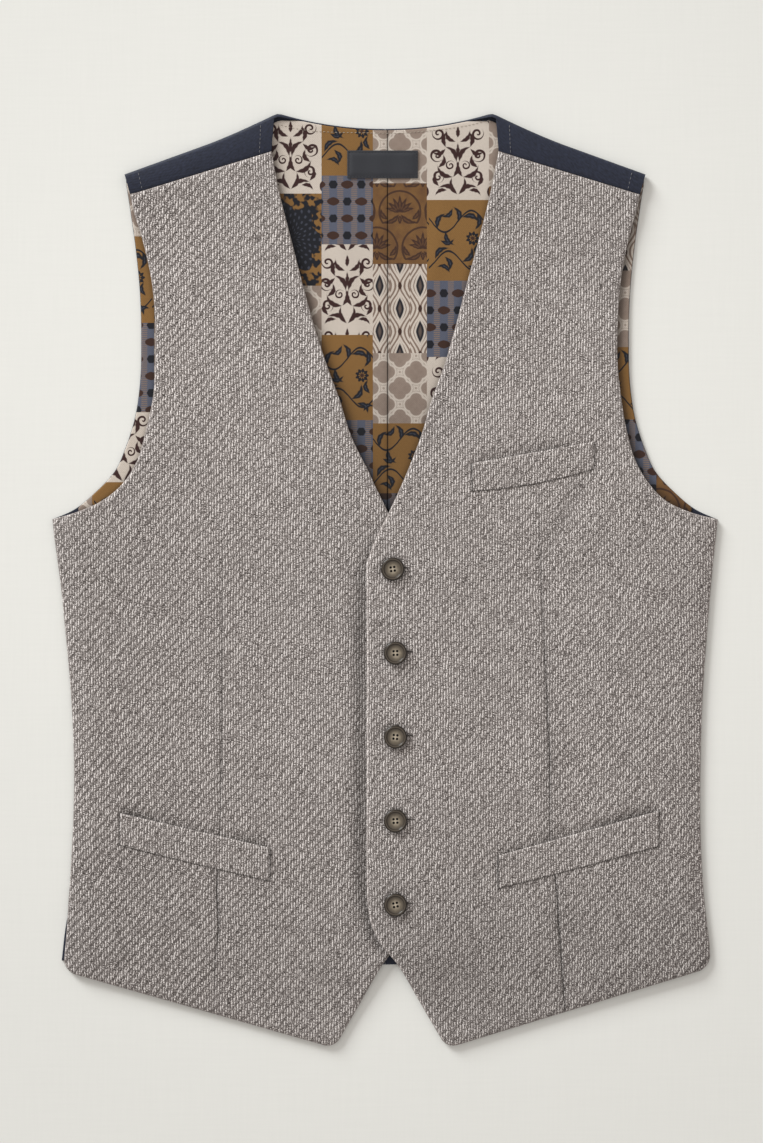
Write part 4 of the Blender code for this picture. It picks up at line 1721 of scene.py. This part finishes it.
        # Painted light and shade: lighter towards the chest, darker towards the hem, the sides and
        # the shoulders, and more so on the left front.
        painted_light_and_shade = 1.0 + 0.10 * ease(y, 0.0, 190.0) - 0.10 * ease(y, -120.0, -300.0)
        painted_light_and_shade -= 0.05 * ease(np.abs(x), 120.0, 240.0) + 0.06 * ease(y, 200.0, 290.0)
        if self.side is Side.LEFT:
            painted_light_and_shade -= 0.07 * ease(y, 60.0, 180.0) + 0.08 * ease(y, -190.0, -290.0)
        # Painted highlight along the left front's lapping edge, which faces the light.
        lapping = (self.side is Side.LEFT) * ease(y, 70.0, 40.0) * (from_inner < 12.0)
        painted_light_and_shade += 0.22 * lapping * bell(edge - 0.9, 0.8)
        # Painted light line along every edge.
        rim = bell(edge, 0.9)
        marks = {
            "twill": twill, "even": even, "rim": rim, "painted_light_and_shade": painted_light_and_shade, "painted_shade": self.painted_shade(x, y)
        }
        shell = Shell(self.name, plan, under, over, material, marks, self.grain_shift)
        obj = shell.build()
        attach(obj, "root")
        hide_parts(self.node)
        return obj


def shoulder_line(x: Array) -> Array:
    """Height of the back's top edge: the neck's curve, rounded into the fold of the shoulder.

    Args:
        x: Places outwards.
    Returns:
        Places up.
    """
    x = np.asarray(x, float)
    neck = NECK_LOW_Y + NECK_RISE * (x / NECK_HALF) ** 2
    kick = SHOULDER_KICK * np.maximum(0.0, (KICK_FROM_X - x) / KICK_WIDTH) ** 1.6
    fold = TIP_Y + SHOULDER_SLOPE * (TIP_X - x) + kick
    close = np.maximum(0.0, 1.0 - abs(neck - fold) / NECK_POINT_ROUND)
    return np.minimum(neck, fold) - NECK_POINT_ROUND * close**2 / 4.0


SHOULDER_OUT = unit(np.array([SHOULDER_SLOPE, 1.0]))


def bow(u: Array, inner_y: Array) -> Array:
    """How far a point of the back rises so that the rows come to follow the neck and shoulder.

    Args:
        u: The share across its row.
        inner_y: The row's height at the centre.
    Returns:
        Distances up.
    """
    chord = NECK_LOW_Y + (TIP_Y - NECK_LOW_Y) * u
    share = (inner_y - BOW_FROM_Y) / (NECK_LOW_Y - BOW_FROM_Y)
    return (shoulder_line(u * TIP_X) - chord) * np.maximum(share, 0.0) ** 1.5


def back_rows(side: Side, skirt: Sequence[Section], spacing: float) -> Array:
    """Rows of one half of the back, from the skirt rows given up to the shoulder.

    Args:
        side: The wearer's side; the left one is a little fuller.
        skirt: Sections below the underarm.
        spacing: The most distance between two rows.
    Returns:
        An array of rows.
    """
    rows = panel_rows(skirt, BACK_SHOULDER, spacing)
    if side is Side.LEFT:
        share = np.maximum((UNDERARM_Y - rows[:, 3]) / (UNDERARM_Y - BACK_HEM_Y), 0.0)
        rows[:, 2] += LEFT_FULLNESS * 4.0 * share * (1.0 - share)
    return rows


@dataclass
class BackHalf:
    """One half of the back shell, flat on the surface and folded forward over the shoulder."""

    name: str
    node: str
    side: Side
    flat: tuple[float, float]
    area: float
    spacing: float = 3.2
    neck_steps: int = 26
    fold_steps: int = 12
    strip_steps: int = 12
    edge_radius: float = 0.38

    def build(self, material: Material) -> Object:
        """Builds the half.

        Args:
            material: The back's twill.
        Returns:
            The finished object.
        """
        split = STRIP_NECK_X / TIP_X
        neck = np.linspace(0.0, split, self.neck_steps + 1)[:-1]
        neck[1] = 0.004
        across = edge_spaced(1.0, 0.03, (0.004, 0.012))
        lines = np.concatenate([neck, split + (1.0 - split) * across])
        first = len(neck)
        rows = back_rows(self.side, BACK_SKIRT, self.spacing)
        fold_row = len(rows) - 1
        total = len(rows) + self.fold_steps + self.strip_steps
        middle, x = SHELL_WALL / 2.0, lines * TIP_X
        bend = STRIP_BASE / 2.0 * (
            NECK_ROLL + (1.0 - NECK_ROLL) * ease(x, NECK_ROLL_FROM_X, STRIP_NECK_X)
        )
        lean = np.minimum(-np.gradient(shoulder_line(x), x), SHOULDER_SLOPE)
        out = unit(np.column_stack([lean, np.ones(len(x))]))
        reach = (bend + middle)[:, None] * out
        points = np.zeros((total, len(lines), 3))
        place = rows[:, None, :2] + (rows[:, None, 2:] - rows[:, None, :2]) * lines[:, None]
        place[..., 1] += bow(lines[None, :], rows[:, 1:2])
        place -= ease(rows[:, 1], rows[-1, 1] - 14.0, rows[-1, 1])[:, None, None] * reach
        points[: len(rows), :, :2], points[: len(rows), :, 2] = place, middle
        centre = np.column_stack([x, shoulder_line(x)]) - reach
        for step in range(self.fold_steps + 1):
            angle = math.pi * step / self.fold_steps
            points[fold_row + step, :, :2] = centre + bend[:, None] * out * math.sin(angle)
            points[fold_row + step, :, 2] = middle + bend * (1.0 - math.cos(angle))
        seam_neck, seam_arm = np.array(STRIP_SEAM_NECK), np.array(STRIP_SEAM_ARM)
        seam = seam_neck + (seam_arm - seam_neck) * across[:, None] + SHOULDER_OUT * SEAM_GAP / 2
        centre = centre[first:]
        for step in range(1, self.strip_steps + 1):
            share = 1.0 - (1.0 - step / self.strip_steps) ** 1.35
            row = fold_row + self.fold_steps + step
            dome = 0.35 * math.sin(math.pi * min(share * 1.15, 1.0))
            dome -= 0.5 * ease(share, 0.9, 1.0)
            points[row, first:, :2] = centre + (seam - centre) * share
            points[row, first:, 2] = middle + STRIP_BASE + dome
        points[..., 0] = np.maximum(points[..., 0], SEAM_GAP / 2.0) * self.side.value
        obj = self.surface(points, fold_row, first, material)
        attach(obj, "root")
        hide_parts(self.node)
        return obj

    def surface(
        self, points: Array, fold_row: int, first: int, material: Material
    ) -> Object:
        """Makes the cloth's middle surface from a grid and gives it its wall.

        Args:
            points: Rows by columns by 3, in millimetres.
            fold_row: The row at the top of the flat part.
            first: The first column of the strip on the front.
            material: The back's twill.
        Returns:
            The object with its wall.
        """
        rows, columns = points.shape[:2]
        bm = bmesh.new()
        bmesh.ops.create_grid(bm, x_segments=columns - 1, y_segments=rows - 1, size=1.0)
        grain = bm.verts.layers.float_vector.new("grain")
        spare = []
        run = np.zeros((rows, columns))
        run[1:] = np.cumsum(np.linalg.norm(np.diff(points, axis=0), axis=2), axis=0)
        run -= run[fold_row][None, :]
        for vert in bm.verts:
            column = round((vert.co.x + 1.0) / 2.0 * (columns - 1))
            row = round((vert.co.y + 1.0) / 2.0 * (rows - 1))
            if row > fold_row + self.fold_steps and column < first:
                spare.append(vert)
                continue
            vert.co = points[row, column] * MM
            up = points[min(row, fold_row), column, 1] + max(run[row, column], 0.0)
            vert[grain] = (points[row, column, 0] * MM, up * MM, 0.0)
        bmesh.ops.delete(bm, geom=spare, context="VERTS")
        obj = keep(self.name, bm, material)
        values = np.empty(len(obj.data.vertices) * 3, np.float32)
        obj.data.attributes["grain"].data.foreach_get("vector", values)
        paint(obj, values.reshape(-1, 3)[:, :2], {})
        obj.data.attributes.remove(obj.data.attributes["grain"])
        wall = obj.modifiers.new("wall", "SOLIDIFY")
        wall.thickness = SHELL_WALL * MM
        wall.offset = 0.0
        edge = obj.modifiers.new("edge", "BEVEL")
        edge.affect = "EDGES"
        edge.width = self.edge_radius * MM
        edge.segments = 2
        edge.profile = 0.5
        edge.material = -1
        edge.limit_method = "ANGLE"
        edge.angle_limit = math.radians(50)
        edge.harden_normals = False
        return obj


@dataclass
class LiningHalf:
    """One half of the printed back lining, flat on the shell and just inside its edges."""

    name: str
    node: str
    side: Side
    creases: Sequence[Sequence[Bend]]
    flat: tuple[float, float]
    area: float
    spacing: float = 3.0

    def build(self, material: Material) -> Object:
        """Builds the half.

        Args:
            material: The printed lining.
        Returns:
            The finished object.
        """
        rows = back_rows(self.side, BACK_SKIRT[1:], self.spacing)
        rows = with_edge_rows(rows, (0.3, 0.8), at_top=True)
        seam_x = self.side.value * LINING_SEAM_X + SEAM_GAP / 2.0
        shares = edge_spaced(230.0, self.spacing, (0.25, 0.6, 1.2))
        over_arm = ease(rows[:, 3], UNDERARM_Y, UNDERARM_Y + 10.0)
        inset = LINING_SIDE_INSET + (LINING_ARM_INSET - LINING_SIDE_INSET) * over_arm
        x = seam_x + (rows[:, 2] - inset - seam_x)[:, None] * shares
        share = x / rows[:, 2:3]
        y = rows[:, 1:2] + (rows[:, 3:4] - rows[:, 1:2]) * share + bow(share, rows[:, 1:2])
        place = np.stack([x, y], axis=-1)
        near_top = ease(rows[:, 1], rows[-1, 1] - 12.0, rows[-1, 1])[:, None, None]
        back_off = SHOULDER_OUT * (LINING_FOLD_INSET * ease(x, *LINING_FOLD_START))[..., None]
        place -= near_top * (back_off + (0.0, LINING_EDGE_INSET))
        plan = place * (self.side.value, 1.0)
        edge, _, _ = from_line(plan[..., 0], plan[..., 1], outline(plan))
        rise = creased(plan[..., 0], plan[..., 1], self.creases) * ease(edge, 0.0, 8.0)
        half = LINING_WALL / 2.0 * round_edge(edge, 0.8, 0.25)
        middle = LINING_BASE + LINING_WALL / 2.0
        over = middle + half + np.maximum(rise, -0.35)
        under = middle - half + np.maximum(rise, 0.0)
        painted_shade = self.painted_shade(plan[..., 0], plan[..., 1])
        shell = Shell(self.name, plan, under, over, material, {"painted_shade": painted_shade})
        obj = shell.build()
        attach(obj, "root")
        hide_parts(self.node)
        return obj

    def painted_shade(self, x: Array, y: Array) -> Array:
        """Painted shade and shadow: how much darker the lining is painted along its seam and beside
        the fronts, from 0 to 1.

        Args:
            x: Places across.
            y: Places up.
        Returns:
            Shares taken off its tone.
        """
        from_seam = abs(x - LINING_SEAM_X)
        total = 0.45 * bell(from_seam, 0.6) + 0.12 * bell(from_seam, 3.0)
        # Painted shadow beside each front's inner edge, and painted shade beside its armhole edge.
        for side, chest, dark, wide in (
            (Side.RIGHT, RIGHT_FRONT_CHEST, 0.40, 5.5), (Side.LEFT, LEFT_FRONT_CHEST, 0.22, 2.5),
        ):
            edge = np.array([(side.value * row.inner_x, row.inner_y) for row in chest])
            total += dark * bell(from_line(x, y, edge)[0], wide)
            arm = np.array([(side.value * row.outer_x, row.outer_y) for row in chest])
            deep, near = (0.55, 4.5) if side is Side.LEFT else (0.30, 1.6)
            total += deep * bell(from_line(x, y, arm)[0], near)
        # Painted shade low in the opening.
        total += 0.22 * ease(y, 190.0, 90.0) * (abs(x) < 60.0)
        return np.clip(total, 0.0, 0.8)


@dataclass
class NeckLabel:
    """The woven neck label, bare, sewn down along its edges."""

    name: str = "neck_label"
    node: str = "label"
    lift: float = 0.42
    half_wall: float = 0.36
    stitch_inset: float = 1.3
    stitch_height: float = 0.72

    def build(self, finishes: Finishes) -> list[Object]:
        """Builds the label and its stitches.

        Args:
            finishes: The garment's materials.
        Returns:
            The finished objects.
        """
        low, high = (np.array(corner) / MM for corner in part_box(self.node))
        width, tall = high[0] - low[0], high[1] - low[1]
        across, up = (edge_spaced(size, 1.2, (0.2, 0.5, 0.9)) for size in (width, tall))
        u, v = np.meshgrid(across, up)
        plan = np.stack([low[0] + width * u, low[1] + tall * v], axis=-1)
        edge = np.minimum(np.minimum(u, 1 - u) * width, np.minimum(v, 1 - v) * tall)
        half = self.half_wall * round_edge(edge, 0.5)
        puff = 0.30 * ease(edge, 1.0, 4.0) + 0.10 * np.sin(u * 17.0) * ease(edge, 0.5, 3.0)
        middle = low[2] + self.lift + puff - 0.22 * bell(edge - self.stitch_inset, 0.6)
        obj = Shell(self.name, plan, middle - half, middle + half, finishes.label).build()
        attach(obj, "root")
        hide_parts(self.node)
        left, near = low[:2] + self.stitch_inset
        right, far = high[:2] - self.stitch_inset
        corners = ((left, near), (right, near), (right, far), (left, far), (left, near))
        ring = [(*corner, low[2] + self.stitch_height) for corner in corners]
        sewn = StitchLine("label_stitches", ring, 1.5, 0.9, 0.16).build(finishes.dark_thread)
        return [obj, sewn]


@dataclass
class StitchLine:
    """A line of separate sewn stitches along a path."""

    name: str
    path: Sequence[tuple[float, float, float]]
    length: float = 2.4
    gap: float = 0.7
    radius: float = 0.15
    hump: float = 0.10
    rings: int = 5
    sink: float = 0.06

    def build(self, material: Material) -> Object:
        """Builds the stitches as one object.

        Args:
            material: The thread.
        Returns:
            The finished object.
        """
        path = np.array(self.path, float)
        steps = np.linalg.norm(np.diff(path, axis=0), axis=1)
        at = np.concatenate([[0.0], np.cumsum(steps)])
        count = max(1, round(at[-1] / (self.length + self.gap)))
        pitch = at[-1] / count
        bm = bmesh.new()
        for k in range(count):
            middle = (k + 0.5) * pitch
            run = middle + np.linspace(-0.5, 0.5, self.rings) * self.length
            points = np.column_stack([np.interp(run, at, path[:, axis]) for axis in range(3)])
            arch = np.sin(np.linspace(0.0, math.pi, self.rings))
            points[:, 2] += self.hump * arch - self.sink
            radii = self.radius * np.sqrt(np.maximum(arch, 0.0)) + 1e-9
            tube(bm, points * MM, radii * MM)
        obj = keep(self.name, bm, material)
        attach(obj, "root")
        return obj


BUTTON_PROFILE = table(
    Ring,
    (0.0, 0.0), (4.0, 0.0), (6.6, 0.05), (7.7, 0.35), (8.35, 0.85), (8.6, 1.40), (8.52, 1.95),
    (8.22, 2.40), (7.80, 2.68), (7.35, 2.80), (6.95, 2.76), (6.68, 2.58), (6.52, 2.30),
    (6.40, 2.08), (6.20, 1.98), (5.60, 1.90), (4.40, 1.74), (3.00, 1.66), (0.0, 1.64),
)


@dataclass
class Button:
    """One four-hole button, sewn on over its buttonhole."""

    number: int
    turn: float
    tail: float
    sides: int = 72
    radius: float = 8.6
    dark_below: float = 1.56
    hole_radius: float = 0.82
    hole_offset: float = 1.32
    shank_radii: tuple[float, float] = (3.2, 2.7)
    shank_height: float = 1.7
    shank_sink: float = 0.35
    slit_half: float = 0.34
    purl_radius: float = 0.36

    def centre(self) -> Vector:
        """The middle of the button's underside, in metres."""
        low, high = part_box(f"button_{self.number}")
        return Vector(((low.x + high.x) / 2, (low.y + high.y) / 2, low.z))

    def blank(self, material: Material) -> Object:
        """The turned body, before its holes are drilled.

        Args:
            material: The buttons' resin.
        Returns:
            A helper object, which is removed later.
        """
        bm = bmesh.new()
        verts = [bm.verts.new((r.radius * MM, 0.0, r.height * MM)) for r in BUTTON_PROFILE]
        edges = [bm.edges.new(pair) for pair in zip(verts, verts[1:])]
        bmesh.ops.spin(
            bm, geom=verts + edges, axis=(0.0, 0.0, 1.0), cent=(0.0, 0.0, 0.0),
            angle=2.0 * math.pi, steps=self.sides, use_merge=True,
        )
        bmesh.ops.remove_doubles(bm, verts=bm.verts[:], dist=1e-6)
        return keep("button_blank", bm, material)

    def drills(self, material: Material) -> Object:
        """Four posts with flared tops, which cut the thread holes.

        Args:
            material: The buttons' resin.
        Returns:
            A helper object, which is removed later.
        """
        bm = bmesh.new()
        for x in (-self.hole_offset, self.hole_offset):
            for y in (-self.hole_offset, self.hole_offset):
                flare = (self.hole_radius * 0.9, self.hole_radius * 1.35)
                post(bm, (self.hole_radius,) * 2, 8.0, Vector((x * MM, y * MM, 0.0)), 20)
                post(bm, flare, 0.5, Vector((x * MM, y * MM, self.dark_below * MM)), 20)
        return keep("button_drills", bm, material)

    def build(self, finishes: Finishes) -> list[Object]:
        """Builds the button, its shank of thread and the worked end of its buttonhole.

        Args:
            finishes: The garment's materials.
        Returns:
            The finished objects.
        """
        blank, drills = self.blank(finishes.resin), self.drills(finishes.resin)
        holes = blank.modifiers.new("holes", "BOOLEAN")
        holes.operation = "DIFFERENCE"
        holes.solver = "EXACT"
        holes.use_self = True
        holes.object = drills
        bpy.context.view_layer.update()
        graph = bpy.context.evaluated_depsgraph_get()
        mesh = bpy.data.meshes.new_from_object(blank.evaluated_get(graph))
        bpy.data.objects.remove(blank)
        bpy.data.objects.remove(drills)
        points = np.empty(len(mesh.vertices) * 3, np.float32)
        mesh.vertices.foreach_get("co", points)
        points = points.reshape(-1, 3)
        reach = np.hypot(points[:, 0], points[:, 1]) / (self.radius * MM)
        # Painted shade: the hole walls and the underside take the darkest colour.
        reach = np.where(points[:, 2] < self.dark_below * MM, 1.0, reach)
        attribute = mesh.attributes.new("reach", "FLOAT", "POINT")
        attribute.data.foreach_set("value", reach.astype(np.float32))
        mesh.transform(Matrix.Translation(self.centre()) @ Matrix.Rotation(self.turn, 4, "Z"))
        mesh.shade_smooth()
        mesh.set_sharp_from_angle(angle=math.radians(38))
        obj = bpy.data.objects.new(f"sewn_button_{self.number}", mesh)
        bpy.context.scene.collection.objects.link(obj)
        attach(obj, "root")
        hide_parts(f"button_{self.number}")
        return [obj, self.shank(finishes), self.buttonhole(finishes)]

    def shank(self, finishes: Finishes) -> Object:
        """The wound thread under the button and in its holes.

        Args:
            finishes: The garment's materials.
        Returns:
            The finished object.
        """
        bm = bmesh.new()
        middle = self.centre() - Vector((0.0, 0.0, self.shank_sink * MM))
        post(bm, self.shank_radii, self.shank_height, middle, 24)
        obj = keep(f"button_shank_{self.number}", bm, finishes.dark_thread)
        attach(obj, "root")
        return obj

    def buttonhole(self, finishes: Finishes) -> Object:
        """The worked edge of the buttonhole, which shows beside the button.

        Args:
            finishes: The garment's materials.
        Returns:
            The finished object.
        """
        centre = np.array(self.centre()) / MM
        start, end = centre[0] - 2.0, centre[0] + self.tail
        y, z, half = centre[1] + 1.0, centre[2] - 0.72, self.slit_half
        turn = np.linspace(-math.pi / 2, math.pi / 2, 7)
        right = np.column_stack([end + half * np.cos(turn), y + half * np.sin(turn)])
        left = np.column_stack([start - half * np.cos(turn), y - half * np.sin(turn)])
        low = np.column_stack([np.linspace(start, end, 22)[1:-1], np.full(20, y - half)])
        high = np.column_stack([np.linspace(end, start, 22)[1:-1], np.full(20, y + half)])
        ring = np.concatenate([low, right, high, left])
        path = np.column_stack([ring, np.full(len(ring), z)])
        bm = bmesh.new()
        tube(bm, path * MM, np.full(len(path), self.purl_radius * MM), 8, closed=True)
        obj = keep(f"buttonhole_{self.number}", bm, finishes.hole_thread)
        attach(obj, "root")
        return obj


@dataclass
class Studio:
    """The pale floor, the soft light from the upper left and the camera straight above."""

    frame_height: float = 845.8
    centre_x: float = -2.6
    centre_y: float = 6.3
    focus_height: float = 5.0
    lens: float = 100.0
    key_distance: float = 8.5
    key_size: float = 3.2
    key_elevation: float = 20.0
    key_heading: float = 130.0
    key_power: float = 810.0
    sky: float = 0.62

    def build(self, finishes: Finishes) -> None:
        """Builds the floor, the lights and the camera.

        Args:
            finishes: The garment's materials, with the floor's.
        """
        bm = bmesh.new()
        bmesh.ops.create_grid(bm, x_segments=1, y_segments=1, size=4.0)
        keep("floor", bm, finishes.floor)
        world = bpy.data.worlds.new("studio")
        world.use_nodes = True
        background = world.node_tree.nodes["Background"]
        background.inputs["Color"].default_value = (1.0, 0.966, 0.929, 1.0)
        background.inputs["Strength"].default_value = self.sky
        bpy.context.scene.world = world
        up, way = math.radians(self.key_elevation), math.radians(self.key_heading)
        towards = Vector((math.cos(way) * math.cos(up), math.sin(way) * math.cos(up), math.sin(up)))
        light = bpy.data.lights.new("key", "AREA")
        light.shape = "SQUARE"
        light.size = self.key_size
        light.energy = self.key_power
        light.color = (0.968, 1.0, 1.0)
        lamp = bpy.data.objects.new("key", light)
        lamp.location = towards * self.key_distance
        lamp.rotation_euler = towards.to_track_quat("Z", "Y").to_euler()
        bpy.context.scene.collection.objects.link(lamp)
        camera = bpy.data.cameras.new("camera")
        camera.lens = self.lens
        camera.sensor_width = 36.0
        camera.clip_end = 50.0
        view = bpy.data.objects.new("camera", camera)
        away = self.lens / camera.sensor_width * self.frame_height * MM
        view.location = (
            self.centre_x * MM, self.centre_y * MM, away + self.focus_height * MM
        )
        bpy.context.scene.collection.objects.link(view)
        bpy.context.scene.camera = view
        settings = bpy.context.scene.view_settings
        settings.view_transform = "Standard"
        settings.look = "None"


CHEST_WELT = Welt(
    "chest_pocket_welt", "welt_chest", Side.LEFT,
    (64.0, 65.4), (64.0, 86.2), (154.9, 82.0), (154.9, 102.4),
    3.0, (0.35, 0.65, 0.6, 0.8, 0.4, 0.1), 0.00189, (0.0925, 0.0208),
)
WAIST_WELT_LEFT = Welt(
    "waist_pocket_welt_left", "welt_waist_left", Side.LEFT,
    (83.2, -228.6), (83.2, -204.0), (203.0, -197.0), (203.0, -170.6),
    0.6, (0.8, 0.5, 0.7, 0.5, 0.9, 1.1, 0.9), 0.00305, (0.1239, 0.0255),
)
WAIST_WELT_RIGHT = Welt(
    "waist_pocket_welt_right", "welt_waist_right", Side.RIGHT,
    (84.7, -223.2), (84.7, -198.2), (196.4, -196.4), (196.4, -172.4),
    0.4, (1.0, 0.9, 0.4, 0.5, 0.5, 1.0, 1.2), 0.00274, (0.1148, 0.0245),
)

LEFT_CREASES = (
    # from the outer end of the chest welt down to the tip of the dart
    (Bend(160.0, 104.0, 0.0, 6.0), Bend(151.0, 84.0, -0.7, 6.0), Bend(138.0, 55.0, -0.8, 7.0),
     Bend(121.0, 24.0, -0.6, 6.0), Bend(116.0, 2.0, 0.0, 6.0)),
    (Bend(170.0, 80.0, 0.0, 8.0), Bend(158.0, 50.0, 0.6, 8.0), Bend(140.0, 14.0, 0.5, 9.0),
     Bend(134.0, -22.0, 0.0, 8.0)),
)
RIGHT_CREASES = (
    # where the cloth sinks towards the edge that laps over it
    (Bend(0.0, 46.0, 0.0, 4.0), Bend(-10.0, 24.0, -0.7, 4.5), Bend(-14.5, 4.0, -1.1, 5.0),
     Bend(-15.0, -40.0, -1.5, 5.5), Bend(-15.0, -110.0, -1.3, 5.0),
     Bend(-15.0, -180.0, -1.6, 5.5), Bend(-14.0, -235.0, -1.5, 5.5),
     Bend(-7.0, -262.0, -1.2, 5.0), Bend(3.0, -276.0, -0.6, 4.0)),
)
# Painted shade along the crease below the chest welt and beside the dart.
LEFT_PAINTED_SHADES = (
    (Bend(160.0, 104.0, 0.0, 6.0), Bend(151.0, 84.0, 0.10, 5.0), Bend(136.0, 52.0, 0.12, 6.0),
     Bend(121.0, 24.0, 0.10, 6.0), Bend(116.0, 2.0, 0.0, 6.0)),
    (Bend(118.0, 0.0, 0.0, 8.0), Bend(121.0, -70.0, 0.08, 8.0), Bend(122.0, -180.0, 0.06, 8.0),
     Bend(122.0, -200.0, 0.0, 8.0)),
)
# Painted shade on the right front beside the edge that laps over it.
RIGHT_PAINTED_SHADES = (
    (Bend(0.0, 48.0, 0.0, 4.0), Bend(-10.5, 27.0, 0.26, 4.5), Bend(-17.0, 4.0, 0.34, 6.0),
     Bend(-18.5, -40.0, 0.38, 7.0), Bend(-18.0, -110.0, 0.34, 6.5), Bend(-18.5, -180.0, 0.38, 7.0),
     Bend(-17.0, -235.0, 0.40, 6.5), Bend(-10.0, -262.0, 0.40, 6.0), Bend(1.0, -276.0, 0.25, 4.5)),
)
SWELLS = table(
    Swell,
    (0.16, 118.0, 24.0, 0.6), (0.12, 83.0, 112.0, 2.1),
    (0.10, 61.0, 65.0, 4.0), (0.06, 37.0, 155.0, 1.2),
)
LINING_CREASES = (
    (Bend(-42.0, 330.0, 0.0, 5.0), Bend(-34.0, 262.0, 0.5, 6.0), Bend(-22.0, 190.0, 0.6, 7.0),
     Bend(-6.0, 120.0, 0.0, 6.0)),
    (Bend(48.0, 318.0, 0.0, 6.0), Bend(38.0, 240.0, 0.5, 7.0), Bend(20.0, 160.0, 0.4, 6.0),
     Bend(8.0, 110.0, 0.0, 6.0)),
    (Bend(-70.0, 300.0, 0.0, 6.0), Bend(-30.0, 236.0, -0.3, 8.0), Bend(4.0, 200.0, 0.0, 6.0)),
)


def strip_stitches(side: Side) -> list[list[tuple[float, float, float]]]:
    """Paths of the two lines of stitching that cross the shoulder strip.

    Args:
        side: The wearer's side.
    Returns:
        The line by the neck and the line by the arm.
    """
    top = STRIP_BASE + SHELL_WALL + 0.42
    lines = []
    for share in (0.085, 0.912):
        x = STRIP_NECK_X + (TIP_X - STRIP_NECK_X) * share
        fold = np.array([x, float(shoulder_line(x))]) - SHOULDER_OUT * 1.2
        neck, arm = np.array(STRIP_SEAM_NECK), np.array(STRIP_SEAM_ARM)
        seam = neck + (arm - neck) * share
        points = [fold + (seam - fold) * t for t in np.linspace(0.06, 0.97, 9)]
        lines.append([(side.value * p[0], p[1], top) for p in points])
    return lines


def neck_stitches() -> list[tuple[float, float, float]]:
    """The line of stitching on the lining, a little below the back neck.

    Returns:
        Its path.
    """
    top = LINING_BASE + LINING_WALL + 0.08
    xs = np.linspace(-78.0, 78.0, 60)
    drop = 3.4 + 4.6 * ease(-xs, 10.0, 75.0) + 1.0 * ease(xs, 30.0, 70.0)
    return [(x, float(shoulder_line(abs(x))) - d, top) for x, d in zip(xs, drop)]


def main() -> None:
    """Builds the garment from the back up, then the studio, and logs every piece."""
    logging.basicConfig(level=logging.INFO, format="%(message)s")
    finishes = Finishes()
    buttons = [
        Button(1, math.radians(8.0), 12.2),
        Button(2, math.radians(2.0), 12.6),
        Button(3, math.radians(-6.0), 12.6),
        Button(4, math.radians(3.0), 13.6),
        Button(5, math.radians(12.0), 18.0),
    ]
    places = [tuple(np.array(b.centre())[:2] / MM) for b in buttons]
    fronts = [
        FrontPanel(
            "front_right_cloth", "front_right", Side.RIGHT,
            RIGHT_FRONT_SKIRT, RIGHT_FRONT_CHEST,
            ((119.0, 60.0), (120.6, 0.0), (121.0, -130.0), (122.0, -178.0), (124.5, -228.0),
             (123.0, -256.0), (125.8, -284.0), (126.5, -330.0)),
            (0.0, 0.35, 0.75, 0.45, 1.0, 0.9, 0.5, 0.1),
            RIGHT_CREASES, RIGHT_PAINTED_SHADES, SWELLS, [WAIST_WELT_RIGHT], [],
            (0.2667, 0.6631), 0.1263, (370.0, 12.0),
        ),
        FrontPanel(
            "front_left_cloth", "front_left", Side.LEFT,
            LEFT_FRONT_SKIRT, LEFT_FRONT_CHEST,
            ((113.5, 70.0), (114.7, 18.5), (122.0, -133.0), (122.0, -192.0), (127.0, -228.0),
             (129.0, -260.0), (132.7, -311.0), (133.5, -335.0)),
            (0.0, 0.5, 0.8, 0.4, 0.9, 1.0, 0.8, 0.1),
            LEFT_CREASES, LEFT_PAINTED_SHADES, SWELLS, [CHEST_WELT, WAIST_WELT_LEFT], places,
            (0.2602, 0.6620), 0.1246, (0.0, 0.0),
        ),
    ]
    made: list[Object] = []
    for side in Side:
        shell, lining = f"back_{side.name.lower()}", f"lining_{side.name.lower()}"
        back = BackHalf(f"{shell}_cloth", shell, side, (0.2464, 0.6700), 0.1336)
        made.append(back.build(finishes.back))
        half = LiningHalf(
            f"{lining}_cloth", lining, side, LINING_CREASES, (0.2330, 0.6050), 0.1180
        )
        made.append(half.build(finishes.lining))
    for front in fronts:
        made.append(front.build(finishes.twill))
        made.extend(welt.build(front, finishes.twill) for welt in front.welts)
    made.extend(NeckLabel().build(finishes))
    for button in buttons:
        made.extend(button.build(finishes))
    for side in Side:
        for place, path in zip(("neck", "arm"), strip_stitches(side)):
            line = StitchLine(f"strip_stitches_{place}_{side.name.lower()}", path)
            made.append(line.build(finishes.pale_thread))
    neck = StitchLine("neck_stitches", neck_stitches(), 2.0, 0.9, 0.2, 0.2)
    made.append(neck.build(finishes.cream_thread))
    for obj in made:
        log.info("%s: %d faces", obj.name, len(obj.data.polygons))
    Studio().build(finishes)


if __name__ == "__main__":
    main()
